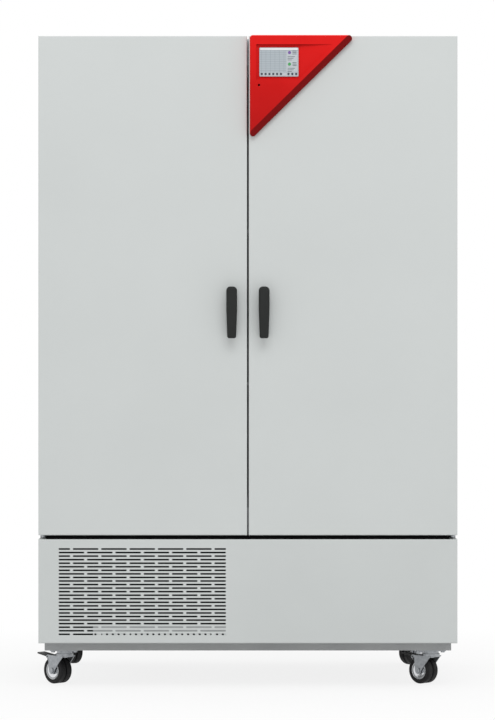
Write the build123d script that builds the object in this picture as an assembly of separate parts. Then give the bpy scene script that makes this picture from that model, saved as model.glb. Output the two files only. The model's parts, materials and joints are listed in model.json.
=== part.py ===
from build123d import *
import math
import os

# Two-door environmental test chamber of the 700 litre class, on four swivel casters.
# The doors face -Y, +X is to the viewer's right and +Z is up. The origin lies on the floor,
# below the middle of the overall box. All sizes are in millimetres. Each node is one
# separate piece of the product, or one group of identical pieces.

# Casing
CASING_WIDTH = 1245.0
CASTER_HEIGHT = 106.0
BASE_HEIGHT = 28.0
LOWER_PANEL_HEIGHT = 309.0
PANEL_GAP = 12.0
DOOR_HEIGHT = 1483.0
HANDLE_REACH = 45.0
DOOR_THICKNESS = 75.0
SEAL_SPACE = 10.0
CASING_DEPTH = 725.0
REAR_REACH = 35.0
SHEET = 1.2
LINER_SHEET = 1.5
FIT_GAP = 0.3
RUNNING_GAP = 0.08
CUT_PAST = 1.0

# Insulated body and test space
SIDE_WALL = 136.0
ROOF_WALL = 118.0
BACK_WALL = 60.0
CHAMBER_SILL = 124.0
DUCT_DEPTH = 64.0
BODY_LIFT = 3.0
REBATE_DEPTH = 25.0
REBATE_STEP = 13.5

# Doors
DOOR_GAP = 5.0
EDGE_RADIUS = 3.0
FOAM_SKIN_GAP = 0.75
HINGE_SIDE_INSET = 14.5
HINGE_BACK_INSET = 20.0
HINGE_PIN_RADIUS = 5.0
HINGE_PIN_REACH = 20.0
HINGE_PLATE = 6.0
HINGE_CLEARANCE = 3.0
HINGE_ARM_RADIUS = 8.0
HINGE_FOOT = 3.0
HINGE_FOOT_HEIGHT = 18.0
NOTCH_SIDE = 12.0
NOTCH_FRONT = 18.0
PAN_HEIGHT = 8.0
PAN_MARGIN = 6.0
SEAL_WIDTH = 22.0
SEAL_SIDE_INSET = 30.0
SEAL_END_INSET = 64.0
SEAL_RADIUS = 20.0
SEAL_ROUNDING_LOSS = 0.4
SEAL_MEETING_GAP = 2.4

# Inner glass doors
GLASS_THICKNESS = 6.0
GLASS_GAP = 3.0
GLASS_EDGE_GAP = 6.0
GLASS_END_GAP = 9.5
GLASS_REST_GAP = 1.0
GLASS_PIN_INSET = 3.0
GLASS_PIN_RADIUS = 3.0
GLASS_PIN_REACH = 8.0
GLASS_PLATE = 3.0
GLASS_PLATE_WIDTH = 46.0
GLASS_PLATE_HEIGHT = 38.0
KNOB_RADIUS = 14.0
KNOB_HEIGHT = 12.0
KNOB_INSET = 32.0

# Door handles and latch rods
HANDLE_X = 48.0
HANDLE_RISE = 585.0
HANDLE_LENGTH = 153.0
HANDLE_TOP_WIDTH = 32.0
HANDLE_FOOT_WIDTH = 26.0
HANDLE_TAPER_LENGTH = 85.0
HANDLE_FOOT_CUT = 3.5
HANDLE_DEPTH = 15.0
HANDLE_CHAMFER = 2.5
HANDLE_PLATE = 3.5
HANDLE_PLATE_INSET = 8.0
PIVOT_DROP = 13.0
PIVOT_OUT = 10.0
PIVOT_PIN_RADIUS = 3.0
EAR_RADIUS = 5.5
EAR_THICKNESS = 3.5
TONGUE_WIDTH = 14.0
TAIL_REACH = 20.0
TAIL_WIDTH = 6.0
TAIL_HEIGHT = 4.0
TAIL_TIP_RADIUS = 4.0
TAIL_ROOM = 1.5
LEVER_SWING = 35.0
ROD_WIDTH = 16.0
ROD_THICKNESS = 4.0
ROD_END = 12.0
ROD_CLEARANCE = 0.6
HOOK_SIZE = 8.0
HOOK_TIP = 7.0
HOOK_TIP_THICKNESS = 4.0
HOOK_BEHIND = 6.0
HOOK_ROOM = 3.0
HOOK_GAP = 0.5
HOOK_INSET = 38.0
STRIKER_THICKNESS = 3.0
STRIKER_HEIGHT = 12.0
STRIKER_SIDE_MARGIN = 12.0

# Controller on the right-hand door
CONTROLLER_LEG_X = 316.0
CONTROLLER_LEG_Z = 311.0
CONTROLLER_DEPTH = 28.0
CONTROLLER_INSET = 3.4
CONTROLLER_BEVEL = 17.6
CONTROLLER_BEVEL_DEPTH = 14.0
CONTROLLER_LIP = 4.0
CONTROLLER_RADIUS = 9.0
CONTROLLER_WALL = 3.0
DISPLAY_WIDTH = 116.0
DISPLAY_HEIGHT = 86.0
DISPLAY_THICKNESS = 4.0
DISPLAY_LEFT = 28.0
DISPLAY_DROP = 36.5
RECESS_DEPTH = 9.0
RECESS_MARGIN = 9.0
RECESS_TIP = 103.0
SERVICE_PORT_RADIUS = 3.5
SERVICE_PORT_LEFT = 27.0
SERVICE_PORT_DROP = 148.0

# Lower front panel and its air slots
SLOT_ROWS = 25
SLOTS_PER_ROW = 6
SLOT_LENGTH = 76.0
SLOT_HEIGHT = 5.0
SLOT_WEB = 8.1
ROW_PITCH = 10.56
SLOT_FIELD_LEFT = 60.5
SLOT_FIELD_DROP = 28.8
REAR_SLOT_ROWS = 12
REAR_SLOT_COLUMNS = 4
REAR_SLOT_PITCH = 12.0
REAR_SLOT_RISE = 92.0

# Base frame
BASE_SIDE_INSET = 14.0
BASE_FRONT_INSET = 70.0
RAIL_WIDTH = 40.0
RAIL_WALL = 2.5
UPPER_RAIL_HEIGHT = 25.0
UPPER_RAIL_WIDTH = 30.0
PAD_SIZE = 96.0
PAD_THICKNESS = 4.0
FLOOR_PAN = 3.0

# Casters
CASTER_SIDE_INSET = 70.5
CASTER_FRONT_INSET = 130.0
CASTER_REAR_INSET = 90.0
WHEEL_RADIUS = 40.0
WHEEL_WIDTH = 20.0
WHEEL_GAP = 4.0
TYRE_RADIUS = 4.0
HUB_RADIUS = 29.0
HUB_RECESS = 2.0
AXLE_RADIUS = 5.0
AXLE_HEAD_RADIUS = 8.0
AXLE_HEAD = 3.0
CASTER_TRAIL = 30.0
LEG_CLEARANCE = 1.5
LEG_THICKNESS = 2.5
LEG_FOOT_RADIUS = 11.0
LEG_TOP_FRONT = 18.0
LEG_TOP_BACK = 46.0
CROWN_CLEARANCE = 2.5
CROWN_THICKNESS = 3.0
RACE_RADIUS = 26.0
RACE_HEIGHT = 6.5
HOUSING_RADIUS = 23.0
CASTER_PLATE = 4.0
CASTER_PLATE_SIZE = 84.0
KINGPIN_RADIUS = 6.0
KINGPIN_HEAD_RADIUS = 9.5
BOLT_RADIUS = 6.0
BOLT_HEAD = 4.0
BOLT_PLACE = 33.0
PEDAL_WIDTH = 30.0
PEDAL_TIP = 104.0
PEDAL_TIP_RISE = 6.0
PEDAL_PIN_TRAIL = 58.0
PEDAL_PIN_RADIUS = 2.5
PEDAL_HUB_RADIUS = 4.0
PEDAL_SHOE = 8.5
PEDAL_LUG_GAP = 0.5
PEDAL_LUG_MARGIN = 1.0
FRONT_LEFT_ANGLE = 137.0
FRONT_RIGHT_ANGLE = 137.0
REAR_LEFT_ANGLE = 127.0
REAR_RIGHT_ANGLE = 215.0

# Racks
SHELF_FRONT_GAP = 55.0
SHELF_BACK_GAP = 21.0
SHELF_SIDE_GAP = 1.0
SHELF_WIRE = 3.5
SHELF_FRAME = 8.0
SHELF_WIRE_COUNT = 31
LOWER_SHELF_RISE = 330.0
UPPER_SHELF_RISE = 790.0
UPRIGHT_DEPTH = 10.0
UPRIGHT_WIDTH = 30.0
UPRIGHT_WALL = 1.5
UPRIGHT_END_GAP = 8.0
UPRIGHT_SLOT_MARGIN = 45.0
UPRIGHT_SLOT_PITCH = 35.0
UPRIGHT_SLOT_WIDTH = 12.0
UPRIGHT_SLOT_HEIGHT = 4.0
UPRIGHT_FRONT_INSET = 20.0
UPRIGHT_BACK_INSET = 60.0
RUNNER_LEDGE = 12.5
RUNNER_WALL = 1.5
RUNNER_HEIGHT = 20.0

# Air duct behind the test space
INTAKE_ROWS = 4
INTAKE_RISE = 24.0
FAN_SIDE_INSET = 256.5
FAN_DROP = 170.0
FAN_RADIUS = 105.0
FAN_HUB_RADIUS = 30.0
FAN_HUB_ROUND = 5.0
FAN_BLADES = 8
FAN_DEPTH = 26.0
FAN_FRONT_GAP = 6.0
FAN_SHAFT_RADIUS = 5.0
BLADE_CHORD = 38.0
BLADE_THICKNESS = 2.0
BLADE_PITCH = 32.0
GUARD_GAP = 6.0
GUARD_RINGS = 4
GUARD_BAR = 4.0
MOTOR_RADIUS = 45.0
MOTOR_GAP = 2.0
MOTOR_BORE_DEPTH = 20.0
HEATER_RADIUS = 128.0
HEATER_TUBE_RADIUS = 4.0
HEATER_FRONT_GAP = 9.0
HEATER_PITCH = 16.0
HEATER_TURNS = 2
HEATER_STRIPS = 3
HEATER_STRIP_WIDTH = 12.0
HEATER_STRIP = 4.0
HEATER_STRIP_ANGLE = 30.0
HEATER_STRIP_END = 1.0
EVAPORATOR_SIDE_GAP = 176.5
EVAPORATOR_HEIGHT = 420.0
EVAPORATOR_DEPTH = 40.0
EVAPORATOR_RISE = 160.0
EVAPORATOR_BACK_GAP = 7.0
FIN_PITCH = 10.0
FIN_DEPTH = 6.0
FIN_THICKNESS = 3.0
FIN_SETBACK = 1.0
END_PLATE = 2.0

# Machine compartment
CONDENSER_LEFT = 65.0
CONDENSER_WIDTH = 490.0
CONDENSER_HEIGHT = 276.0
CONDENSER_DEPTH = 44.0
CONDENSER_FRONT_GAP = 14.0
SHROUD_DEPTH = 40.0
SHROUD_WALL = 3.0
COOLING_FAN_RADIUS = 112.0
COOLING_FAN_GAP = 4.0
COOLING_MOTOR_RADIUS = 35.0
COOLING_MOTOR_LENGTH = 50.0
MOTOR_BRACKET_WIDTH = 16.0
MOTOR_BRACKET = 4.0
COMPRESSOR_SIDE_INSET = 262.5
COMPRESSOR_Y = 20.0
COMPRESSOR_RADIUS = 82.0
COMPRESSOR_HEIGHT = 205.0
COMPRESSOR_DOME = 36.0
COMPRESSOR_FOOT = 12.0
COMPRESSOR_FOOT_RADIUS = 12.0
COMPRESSOR_FOOT_PLACE = 78.0
STUB_OFFSET = 30.0
PIPE_RADIUS = 4.0
PIPE_BEND = 26.0
PIPE_RISE = 46.0
PIPE_SPACING = 40.0
RISER_INSET = 60.0
LIQUID_PIPE_RISE = 33.0
HUMIDIFIER_SIDE_INSET = 202.5
HUMIDIFIER_RADIUS = 58.0
HUMIDIFIER_HEIGHT = 190.0
STEAM_PIPE_RADIUS = 9.0
STEAM_PIPE_RISE = 30.0
WATER_SPACING = 90.0
WATER_INLET_RADIUS = 13.2
WATER_INLET_LENGTH = 20.0
WATER_NECK_RADIUS = 10.0
WATER_COLLAR_RADIUS = 18.0
WATER_COLLAR = 3.0
WATER_BORE_RADIUS = 8.0
DRAIN_RADIUS = 7.0
DRAIN_NECK_RADIUS = 5.5
DRAIN_COLLAR_RADIUS = 11.0
DRAIN_BORE_RADIUS = 4.5
BOX_WIDTH = 300.0
BOX_HEIGHT = 250.0
BOX_DEPTH = 80.0
BOX_SIDE_INSET = 44.0
BOX_WALL = 2.0
SWITCH_WIDTH = 22.0
SWITCH_HEIGHT = 30.0
SWITCH_DEPTH = 14.0
SWITCH_TILT = 8.0
SWITCH_ROOM = 1.5
SWITCH_FRAME = 3.0
SWITCH_PIN_RADIUS = 2.0
SWITCH_PIN_END = 1.5
SWITCH_INSET = 60.0
INLET_WIDTH = 48.0
INLET_HEIGHT = 30.0
INLET_OUT = 3.0
INLET_DEPTH = 16.0
INLET_RIM = 3.0
INLET_PIN = 3.0
INLET_PIN_SPACING = 11.0
INLET_INSET = 160.0

# Access port in the right-hand wall
PORT_RADIUS = 15.0
PORT_WALL = 2.0
PORT_FLANGE_RADIUS = 30.0
PORT_FLANGE = 4.0
PORT_RISE = 620.0
PORT_Y = 0.0
PLUG_DEPTH = 66.0
PLUG_HEAD_RADIUS = 23.0
PLUG_HEAD = 12.0

# Fasteners on the rear panel
SCREW_HEAD_RADIUS = 4.5
SCREW_HEAD = 2.4
SCREW_RADIUS = 2.0
SCREW_INSET = 14.0
SCREWS_PER_SIDE = 7

# Places that follow from the sizes
FRONT_Y = -(HANDLE_REACH + DOOR_THICKNESS + SEAL_SPACE + CASING_DEPTH + REAR_REACH) / 2
DOOR_FRONT_Y = FRONT_Y + HANDLE_REACH
DOOR_BACK_Y = DOOR_FRONT_Y + DOOR_THICKNESS
FRAME_Y = DOOR_BACK_Y + SEAL_SPACE
FRAME_BACK_Y = FRAME_Y + LINER_SHEET
REAR_Y = FRAME_Y + CASING_DEPTH
REAR_INNER_Y = REAR_Y - SHEET
REBATE_Y = FRAME_Y + REBATE_DEPTH
LINER_BACK_Y = REAR_Y - BACK_WALL
BAFFLE_Y = LINER_BACK_Y - DUCT_DEPTH
DUCT_Y = (BAFFLE_Y + LINER_BACK_Y) / 2
HALF_WIDTH = CASING_WIDTH / 2
HALF_INNER = HALF_WIDTH - SHEET
HALF_CHAMBER = HALF_WIDTH - SIDE_WALL
HALF_REBATE = HALF_CHAMBER + REBATE_STEP
PANEL_Z = CASTER_HEIGHT + BASE_HEIGHT
FLOOR_Z = PANEL_Z + FLOOR_PAN
PANEL_TOP_Z = PANEL_Z + LOWER_PANEL_HEIGHT
BODY_Z = PANEL_TOP_Z + BODY_LIFT
DOOR_Z = PANEL_TOP_Z + PANEL_GAP
TOP_Z = DOOR_Z + DOOR_HEIGHT
CHAMBER_Z = BODY_Z + CHAMBER_SILL
CHAMBER_TOP_Z = TOP_Z - ROOF_WALL
REBATE_Z = CHAMBER_Z - REBATE_STEP
REBATE_TOP_Z = CHAMBER_TOP_Z + REBATE_STEP
DOOR_X = DOOR_GAP / 2
HINGE_X = HALF_WIDTH - HINGE_SIDE_INSET
HINGE_Y = DOOR_BACK_Y - HINGE_BACK_INSET
NOTCH_Z = TOP_Z - HINGE_CLEARANCE * 2 - HINGE_PLATE
LINER_FRONT_Y = DOOR_BACK_Y - LINER_SHEET
FOAM_FRONT_Y = DOOR_FRONT_Y + SHEET
HANDLE_Z = DOOR_Z + HANDLE_RISE
HANDLE_TOP_Z = HANDLE_Z + HANDLE_LENGTH
HANDLE_BACK_Y = FRONT_Y + HANDLE_DEPTH
PIVOT_Y = DOOR_FRONT_Y - PIVOT_OUT
PIVOT_Z = HANDLE_TOP_Z - PIVOT_DROP
TAIL_Y = PIVOT_Y + TAIL_REACH
ROD_TRAVEL = TAIL_REACH * math.sin(math.radians(LEVER_SWING))
HOOK_LEVELS = (DOOR_Z + HOOK_INSET, TOP_Z - HOOK_INSET)
GLASS_BACK_Y = REBATE_Y - GLASS_REST_GAP
GLASS_FRONT_Y = GLASS_BACK_Y - GLASS_THICKNESS
GLASS_Z = REBATE_Z + GLASS_END_GAP
GLASS_TOP_Z = REBATE_TOP_Z - GLASS_END_GAP
GLASS_EDGE_X = HALF_REBATE - GLASS_EDGE_GAP
GLASS_PIVOT_X = GLASS_EDGE_X - GLASS_PIN_INSET
GLASS_PIVOT_Y = GLASS_FRONT_Y - GLASS_PLATE
CONTROLLER_X = DOOR_X + CONTROLLER_INSET
CASTER_X = HALF_WIDTH - CASTER_SIDE_INSET
CROWN_Z = 2 * WHEEL_RADIUS + CROWN_CLEARANCE
CROWN_TOP_Z = CROWN_Z + CROWN_THICKNESS
RACE_TOP_Z = CROWN_TOP_Z + RACE_HEIGHT
CASTER_PLATE_Z = CASTER_HEIGHT - CASTER_PLATE
LEG_IN = WHEEL_GAP / 2 + WHEEL_WIDTH + LEG_CLEARANCE
LEG_OUT = LEG_IN + LEG_THICKNESS
PEDAL_PIN_Z = CROWN_Z - CROWN_CLEARANCE
SHELF_FRONT_Y = REBATE_Y + SHELF_FRONT_GAP
SHELF_BACK_Y = BAFFLE_Y - SHELF_BACK_GAP
RUNNER_X = HALF_CHAMBER - UPRIGHT_DEPTH
FAN_X = HALF_CHAMBER - FAN_SIDE_INSET
FAN_Z = CHAMBER_TOP_Z - FAN_DROP
FAN_Y = BAFFLE_Y + SHEET + FAN_FRONT_GAP
CONDENSER_X = -HALF_WIDTH + CONDENSER_LEFT
CONDENSER_END_X = CONDENSER_X + CONDENSER_WIDTH
CONDENSER_Y = DOOR_FRONT_Y + CONDENSER_FRONT_GAP
CONDENSER_BACK_Y = CONDENSER_Y + CONDENSER_DEPTH
SHROUD_BACK_Y = CONDENSER_BACK_Y + SHROUD_DEPTH
COOLING_FAN_X = (CONDENSER_X + CONDENSER_END_X) / 2
COOLING_FAN_Z = FLOOR_Z + CONDENSER_HEIGHT / 2
COMPRESSOR_X = HALF_WIDTH - COMPRESSOR_SIDE_INSET
COMPRESSOR_TOP_Z = FLOOR_Z + COMPRESSOR_FOOT + COMPRESSOR_HEIGHT
LIQUID_PIPE_X = (CONDENSER_END_X + COMPRESSOR_X - COMPRESSOR_FOOT_PLACE) / 2
HUMIDIFIER_X = -HALF_WIDTH + HUMIDIFIER_SIDE_INSET
WATER_Z = FLOOR_Z + HUMIDIFIER_HEIGHT / 2
WATER_INLET_X = HUMIDIFIER_X - WATER_SPACING / 2
DRAIN_X = HUMIDIFIER_X + WATER_SPACING / 2
EVAPORATOR_HALF = HALF_CHAMBER - EVAPORATOR_SIDE_GAP
EVAPORATOR_Z = CHAMBER_Z + EVAPORATOR_RISE
EVAPORATOR_BACK_Y = LINER_BACK_Y - EVAPORATOR_BACK_GAP
RISER_X = EVAPORATOR_HALF - RISER_INSET
RISERS = (RISER_X, RISER_X + PIPE_SPACING)
PORT_Z = CHAMBER_Z + PORT_RISE
BOX_X = HALF_WIDTH - BOX_SIDE_INSET - BOX_WIDTH
SWITCH_X = BOX_X + SWITCH_INSET
INLET_X = BOX_X + INLET_INSET
POWER_Z = FLOOR_Z + BOX_HEIGHT / 2


# Small helpers

def block(x0, x1, y0, y1, z0, z1):
    """A box between two values on each axis."""
    return Pos((x0 + x1) / 2, (y0 + y1) / 2, (z0 + z1) / 2) * Box(x1 - x0, y1 - y0, z1 - z0)


def post(x, y, z0, z1, radius):
    """An upright round bar."""
    return Pos(x, y, (z0 + z1) / 2) * Cylinder(radius, z1 - z0)


def bar_x(x0, x1, y, z, radius):
    """A round bar along X."""
    return Pos((x0 + x1) / 2, y, z) * Rot(0, 90, 0) * Cylinder(radius, x1 - x0)


def bar_y(x, y0, y1, z, radius):
    """A round bar along Y."""
    return Pos(x, (y0 + y1) / 2, z) * Rot(90, 0, 0) * Cylinder(radius, y1 - y0)


def upright_plate(sketch, y0, y1):
    """A sketch drawn in X and Z, made solid from y0 back to y1."""
    return extrude(Plane.XZ.offset(-y1) * sketch, y1 - y0)


def side_plate(sketch, x0, x1):
    """A sketch drawn in Y and Z, made solid from x0 to x1."""
    return extrude(Plane.YZ.offset(x0) * sketch, x1 - x0)


def rectangle(x0, x1, z0, z1):
    """A rectangle between two values on each sketch axis."""
    return Pos((x0 + x1) / 2, (z0 + z1) / 2) * Rectangle(x1 - x0, z1 - z0)


def outline(*points):
    """A straight-sided sketch through its corner points."""
    return make_face(Polyline(*points, close=True))


def mirrored(shape):
    """The same piece on the other side of the cabinet's middle."""
    return mirror(shape, about=Plane.YZ)


def group(*shapes):
    """Several separate solids in one node."""
    return Compound(children=[solid for shape in shapes for solid in shape.solids()])


def on_side(side, shape):
    """The right-hand piece for side 1, or its mirror image for side -1."""
    if side > 0:
        return shape
    return mirrored(shape)


# Base frame and casing

def square_tube(x0, x1, y0, y1):
    """A lower tube of the frame, closed at both ends."""
    wall = RAIL_WALL
    hollow = block(x0 + wall, x1 - wall, y0 + wall, y1 - wall, CASTER_HEIGHT + wall, PANEL_Z - wall)
    return block(x0, x1, y0, y1, CASTER_HEIGHT, PANEL_Z) - hollow


def corner_pad(y, tube_y):
    """Right-hand plate between two tubes, above a caster; tube_y is the cross tube's near face."""
    low, high = sorted((tube_y, y + math.copysign(PAD_SIZE / 2, y - tube_y)))
    right = HALF_WIDTH - BASE_SIDE_INSET - RAIL_WIDTH
    return block(CASTER_X - PAD_SIZE / 2, right, low, high, CASTER_HEIGHT, CASTER_HEIGHT + PAD_THICKNESS)


def base_frame():
    """Frame of tubes with a floor pan, corner posts and the rails under the body."""
    half = HALF_WIDTH - BASE_SIDE_INSET
    front = DOOR_FRONT_Y + BASE_FRONT_INSET
    rail_z = BODY_Z - UPPER_RAIL_HEIGHT
    width = UPPER_RAIL_WIDTH
    front_y, rear_y = caster_rows()
    sides = [square_tube(half - RAIL_WIDTH, half, front + RAIL_WIDTH, REAR_INNER_Y - RAIL_WIDTH),
             corner_pad(front_y, front + RAIL_WIDTH),
             corner_pad(rear_y, REAR_INNER_Y - RAIL_WIDTH),
             block(HALF_INNER - width, HALF_INNER, FRAME_BACK_Y + width, REAR_INNER_Y - width,
                   rail_z, BODY_Z)]
    middle = [block(-HALF_INNER, HALF_INNER, FOAM_FRONT_Y, REAR_INNER_Y, PANEL_Z, FLOOR_Z),
              square_tube(-half, half, front, front + RAIL_WIDTH),
              square_tube(-half, half, REAR_INNER_Y - RAIL_WIDTH, REAR_INNER_Y)]
    for y in (FRAME_BACK_Y, REAR_INNER_Y - width):
        middle.append(block(-HALF_INNER, HALF_INNER, y, y + width, rail_z, BODY_Z))
        sides.append(block(HALF_INNER - width, HALF_INNER, y, y + width, FLOOR_Z, rail_z))
    return group(*middle, *sides, *[mirrored(piece) for piece in sides])


def caster_rows():
    """The front and rear casters' places along Y."""
    return DOOR_FRONT_Y + CASTER_FRONT_INSET, REAR_Y - CASTER_REAR_INSET


def port_cutter(x0, x1):
    """The round hole that the access port's sleeve passes through."""
    return bar_x(x0, x1, PORT_Y, PORT_Z, PORT_RADIUS + PORT_WALL + FIT_GAP)


def side_panel(side):
    """Casing sheet of one side; the right-hand one has the access port's hole."""
    panel = block(HALF_INNER, HALF_WIDTH, FRAME_BACK_Y, REAR_Y, PANEL_Z, TOP_Z - SHEET)
    if side > 0:
        panel -= port_cutter(HALF_CHAMBER, HALF_WIDTH + CUT_PAST)
    return on_side(side, panel)


def top_panel():
    """Roof sheet, lying on the upper edges of the sides and the back."""
    return block(-HALF_WIDTH, HALF_WIDTH, FRAME_BACK_Y, REAR_Y, TOP_Z - SHEET, TOP_Z)


def screw_places():
    """Places of the rear panel's screws, as X and Z pairs."""
    low = PANEL_Z + SCREW_INSET
    step = (TOP_Z - SHEET - SCREW_INSET - low) / (SCREWS_PER_SIDE - 1)
    half = HALF_INNER - SCREW_INSET
    return [(x, low + step * i) for x in (-half, half) for i in range(SCREWS_PER_SIDE)]


def rear_panel():
    """Back sheet with air slots low down and cut-outs for water, power and its screws."""
    panel = rectangle(-HALF_INNER, HALF_INNER, PANEL_Z, TOP_Z - SHEET)
    pitch = SLOT_LENGTH + SLOT_WEB
    cuts = []
    for row in range(REAR_SLOT_ROWS):
        z = FLOOR_Z + REAR_SLOT_RISE + row * REAR_SLOT_PITCH
        for column in range(REAR_SLOT_COLUMNS):
            x = (column - (REAR_SLOT_COLUMNS - 1) / 2) * pitch
            cuts.append(Pos(x, z) * SlotOverall(SLOT_LENGTH, SLOT_HEIGHT))
    cuts += [Pos(fitting[0], WATER_Z) * Circle(fitting[1] + FIT_GAP) for fitting in water_fittings()]
    cuts.append(Pos(SWITCH_X, POWER_Z) * Rectangle(*switch_frame_size(FIT_GAP)))
    room = 2 * FIT_GAP
    cuts.append(Pos(INLET_X, POWER_Z) * Rectangle(INLET_WIDTH + room, INLET_HEIGHT + room))
    cuts += [Pos(x, z) * Circle(SCREW_RADIUS + FIT_GAP) for x, z in screw_places()]
    return upright_plate(panel - cuts, REAR_INNER_Y, REAR_Y)


def panel_screws():
    """Pan-head screws along both sides of the rear panel."""
    screws = []
    for x, z in screw_places():
        head = bar_y(x, REAR_Y, REAR_Y + SCREW_HEAD, z, SCREW_HEAD_RADIUS)
        head = fillet(head.faces().sort_by(Axis.Y)[-1].edges(), SCREW_HEAD / 2)
        screws.append(head + bar_y(x, REAR_INNER_Y, REAR_Y, z, SCREW_RADIUS))
    return group(*screws)


def front_panel_lower():
    """Folded cover of the machine compartment, with the air slots in front of the condenser."""
    panel = block(-HALF_WIDTH, HALF_WIDTH, DOOR_FRONT_Y, FRAME_BACK_Y, PANEL_Z, PANEL_TOP_Z)
    panel = fillet(panel.faces().sort_by(Axis.Y)[0].edges(), EDGE_RADIUS)
    panel -= block(-HALF_INNER, HALF_INNER, FOAM_FRONT_Y, FRAME_BACK_Y + CUT_PAST, PANEL_Z - CUT_PAST,
                   PANEL_TOP_Z - SHEET)
    left = SLOT_FIELD_LEFT - HALF_WIDTH
    pitch = SLOT_LENGTH + SLOT_WEB
    right = left + SLOTS_PER_ROW * pitch - SLOT_WEB
    window = Pos((left + right) / 2, 0) * Rectangle(right - left, 2 * TOP_Z)
    slots = []
    for row in range(SLOT_ROWS):
        z = PANEL_TOP_Z - SLOT_FIELD_DROP - row * ROW_PITCH
        shift = pitch / 2 * ((row + 1) % 2)
        for column in range(SLOTS_PER_ROW + 1):
            x = left + SLOT_LENGTH / 2 - shift + column * pitch
            if column < SLOTS_PER_ROW or shift:
                slots.append(Pos(x, z) * SlotOverall(SLOT_LENGTH, SLOT_HEIGHT))
    field = Sketch() + slots
    return panel - upright_plate(field & window, DOOR_FRONT_Y - CUT_PAST, FOAM_FRONT_Y + CUT_PAST)


# Insulated body

def hook_slot(z):
    """Low and high edge of the window that the hook at one level moves in."""
    return z - HOOK_SIZE / 2 - ROD_TRAVEL - HOOK_ROOM, z + HOOK_SIZE / 2 + HOOK_TIP + HOOK_GAP


def hook_windows(y0, y1, extra=0.0):
    """Cutters for the hooks of the right-hand door, between two depths."""
    half = HOOK_SIZE / 2 + HOOK_ROOM + extra
    cutters = []
    for level in HOOK_LEVELS:
        low, high = hook_slot(level)
        cutters.append(block(HANDLE_X - half, HANDLE_X + half, y0, y1, low - extra, high + extra))
    return cutters


def frame_side():
    """Right-hand upright of the frame round the opening, in three strips: face, step and flange."""
    low, high = REBATE_Z - LINER_SHEET, REBATE_TOP_Z + LINER_SHEET
    edge = HALF_REBATE + LINER_SHEET
    return [
        block(edge, HALF_WIDTH, FRAME_Y, FRAME_BACK_Y, BODY_Z, TOP_Z),
        block(HALF_REBATE, edge, FRAME_Y, REBATE_Y, low, high),
        block(HALF_CHAMBER, edge, REBATE_Y, REBATE_Y + LINER_SHEET, low, high),
    ]


def frame_face(low, high, level):
    """Front strips of the frame above or below the opening, round the windows of the hooks."""
    window_low, window_high = hook_slot(level)
    inner = HANDLE_X - HOOK_SIZE / 2 - HOOK_ROOM
    outer = HANDLE_X + HOOK_SIZE / 2 + HOOK_ROOM
    edge = HALF_REBATE + LINER_SHEET
    beside = block(outer, edge, FRAME_Y, FRAME_BACK_Y, window_low, window_high)
    return [
        block(-edge, edge, FRAME_Y, FRAME_BACK_Y, low, window_low),
        block(-edge, edge, FRAME_Y, FRAME_BACK_Y, window_high, high),
        block(-inner, inner, FRAME_Y, FRAME_BACK_Y, window_low, window_high),
        beside,
        mirrored(beside),
    ]


def frame_end(edge_z, chamber_z):
    """Step and flange of the frame above or below the opening, with the glass doors' pin holes."""
    out = math.copysign(LINER_SHEET, edge_z - chamber_z)
    low, high = sorted((edge_z, edge_z + out))
    step = block(-HALF_REBATE, HALF_REBATE, FRAME_Y, REBATE_Y, low, high)
    hole = post(GLASS_PIVOT_X, GLASS_PIVOT_Y, low - CUT_PAST, high + CUT_PAST, GLASS_PIN_RADIUS + RUNNING_GAP)
    low, high = sorted((edge_z + out, chamber_z))
    flange = block(-HALF_CHAMBER, HALF_CHAMBER, REBATE_Y, REBATE_Y + LINER_SHEET, low, high)
    return [step - [hole, mirrored(hole)], flange]


def inner_chamber():
    """Stainless test space of welded flat sheets, with the stepped frame round its opening."""
    wall = LINER_SHEET
    front = REBATE_Y + wall
    side = block(HALF_CHAMBER, HALF_CHAMBER + wall, front, LINER_BACK_Y, CHAMBER_Z, CHAMBER_TOP_Z)
    floor = block(-HALF_CHAMBER - wall, HALF_CHAMBER + wall, front, LINER_BACK_Y, CHAMBER_Z - wall, CHAMBER_Z)
    floor -= [riser_hole(x, PIPE_RADIUS) for x in RISERS]
    floor -= riser_hole(HUMIDIFIER_X, STEAM_PIPE_RADIUS)
    ceiling = block(-HALF_CHAMBER - wall, HALF_CHAMBER + wall, front, LINER_BACK_Y,
                    CHAMBER_TOP_Z, CHAMBER_TOP_Z + wall)
    back = block(-HALF_CHAMBER - wall, HALF_CHAMBER + wall, LINER_BACK_Y, LINER_BACK_Y + wall,
                 CHAMBER_Z - wall, CHAMBER_TOP_Z + wall)
    uprights = frame_side()
    return group(mirrored(side), side - port_cutter(HALF_CHAMBER - CUT_PAST, HALF_CHAMBER + 2 * wall), floor,
                 ceiling, back, *uprights, *[mirrored(upright) for upright in uprights],
                 *frame_face(BODY_Z, REBATE_Z - wall, HOOK_LEVELS[0]), *frame_end(REBATE_Z, CHAMBER_Z),
                 *frame_face(REBATE_TOP_Z + wall, TOP_Z, HOOK_LEVELS[1]),
                 *frame_end(REBATE_TOP_Z, CHAMBER_TOP_Z))


def riser_hole(x, radius):
    """A hole through the body's floor for a pipe that rises into the air duct."""
    return post(x, DUCT_Y, BODY_Z - CUT_PAST, CHAMBER_Z + CUT_PAST, radius + FIT_GAP)


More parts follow.
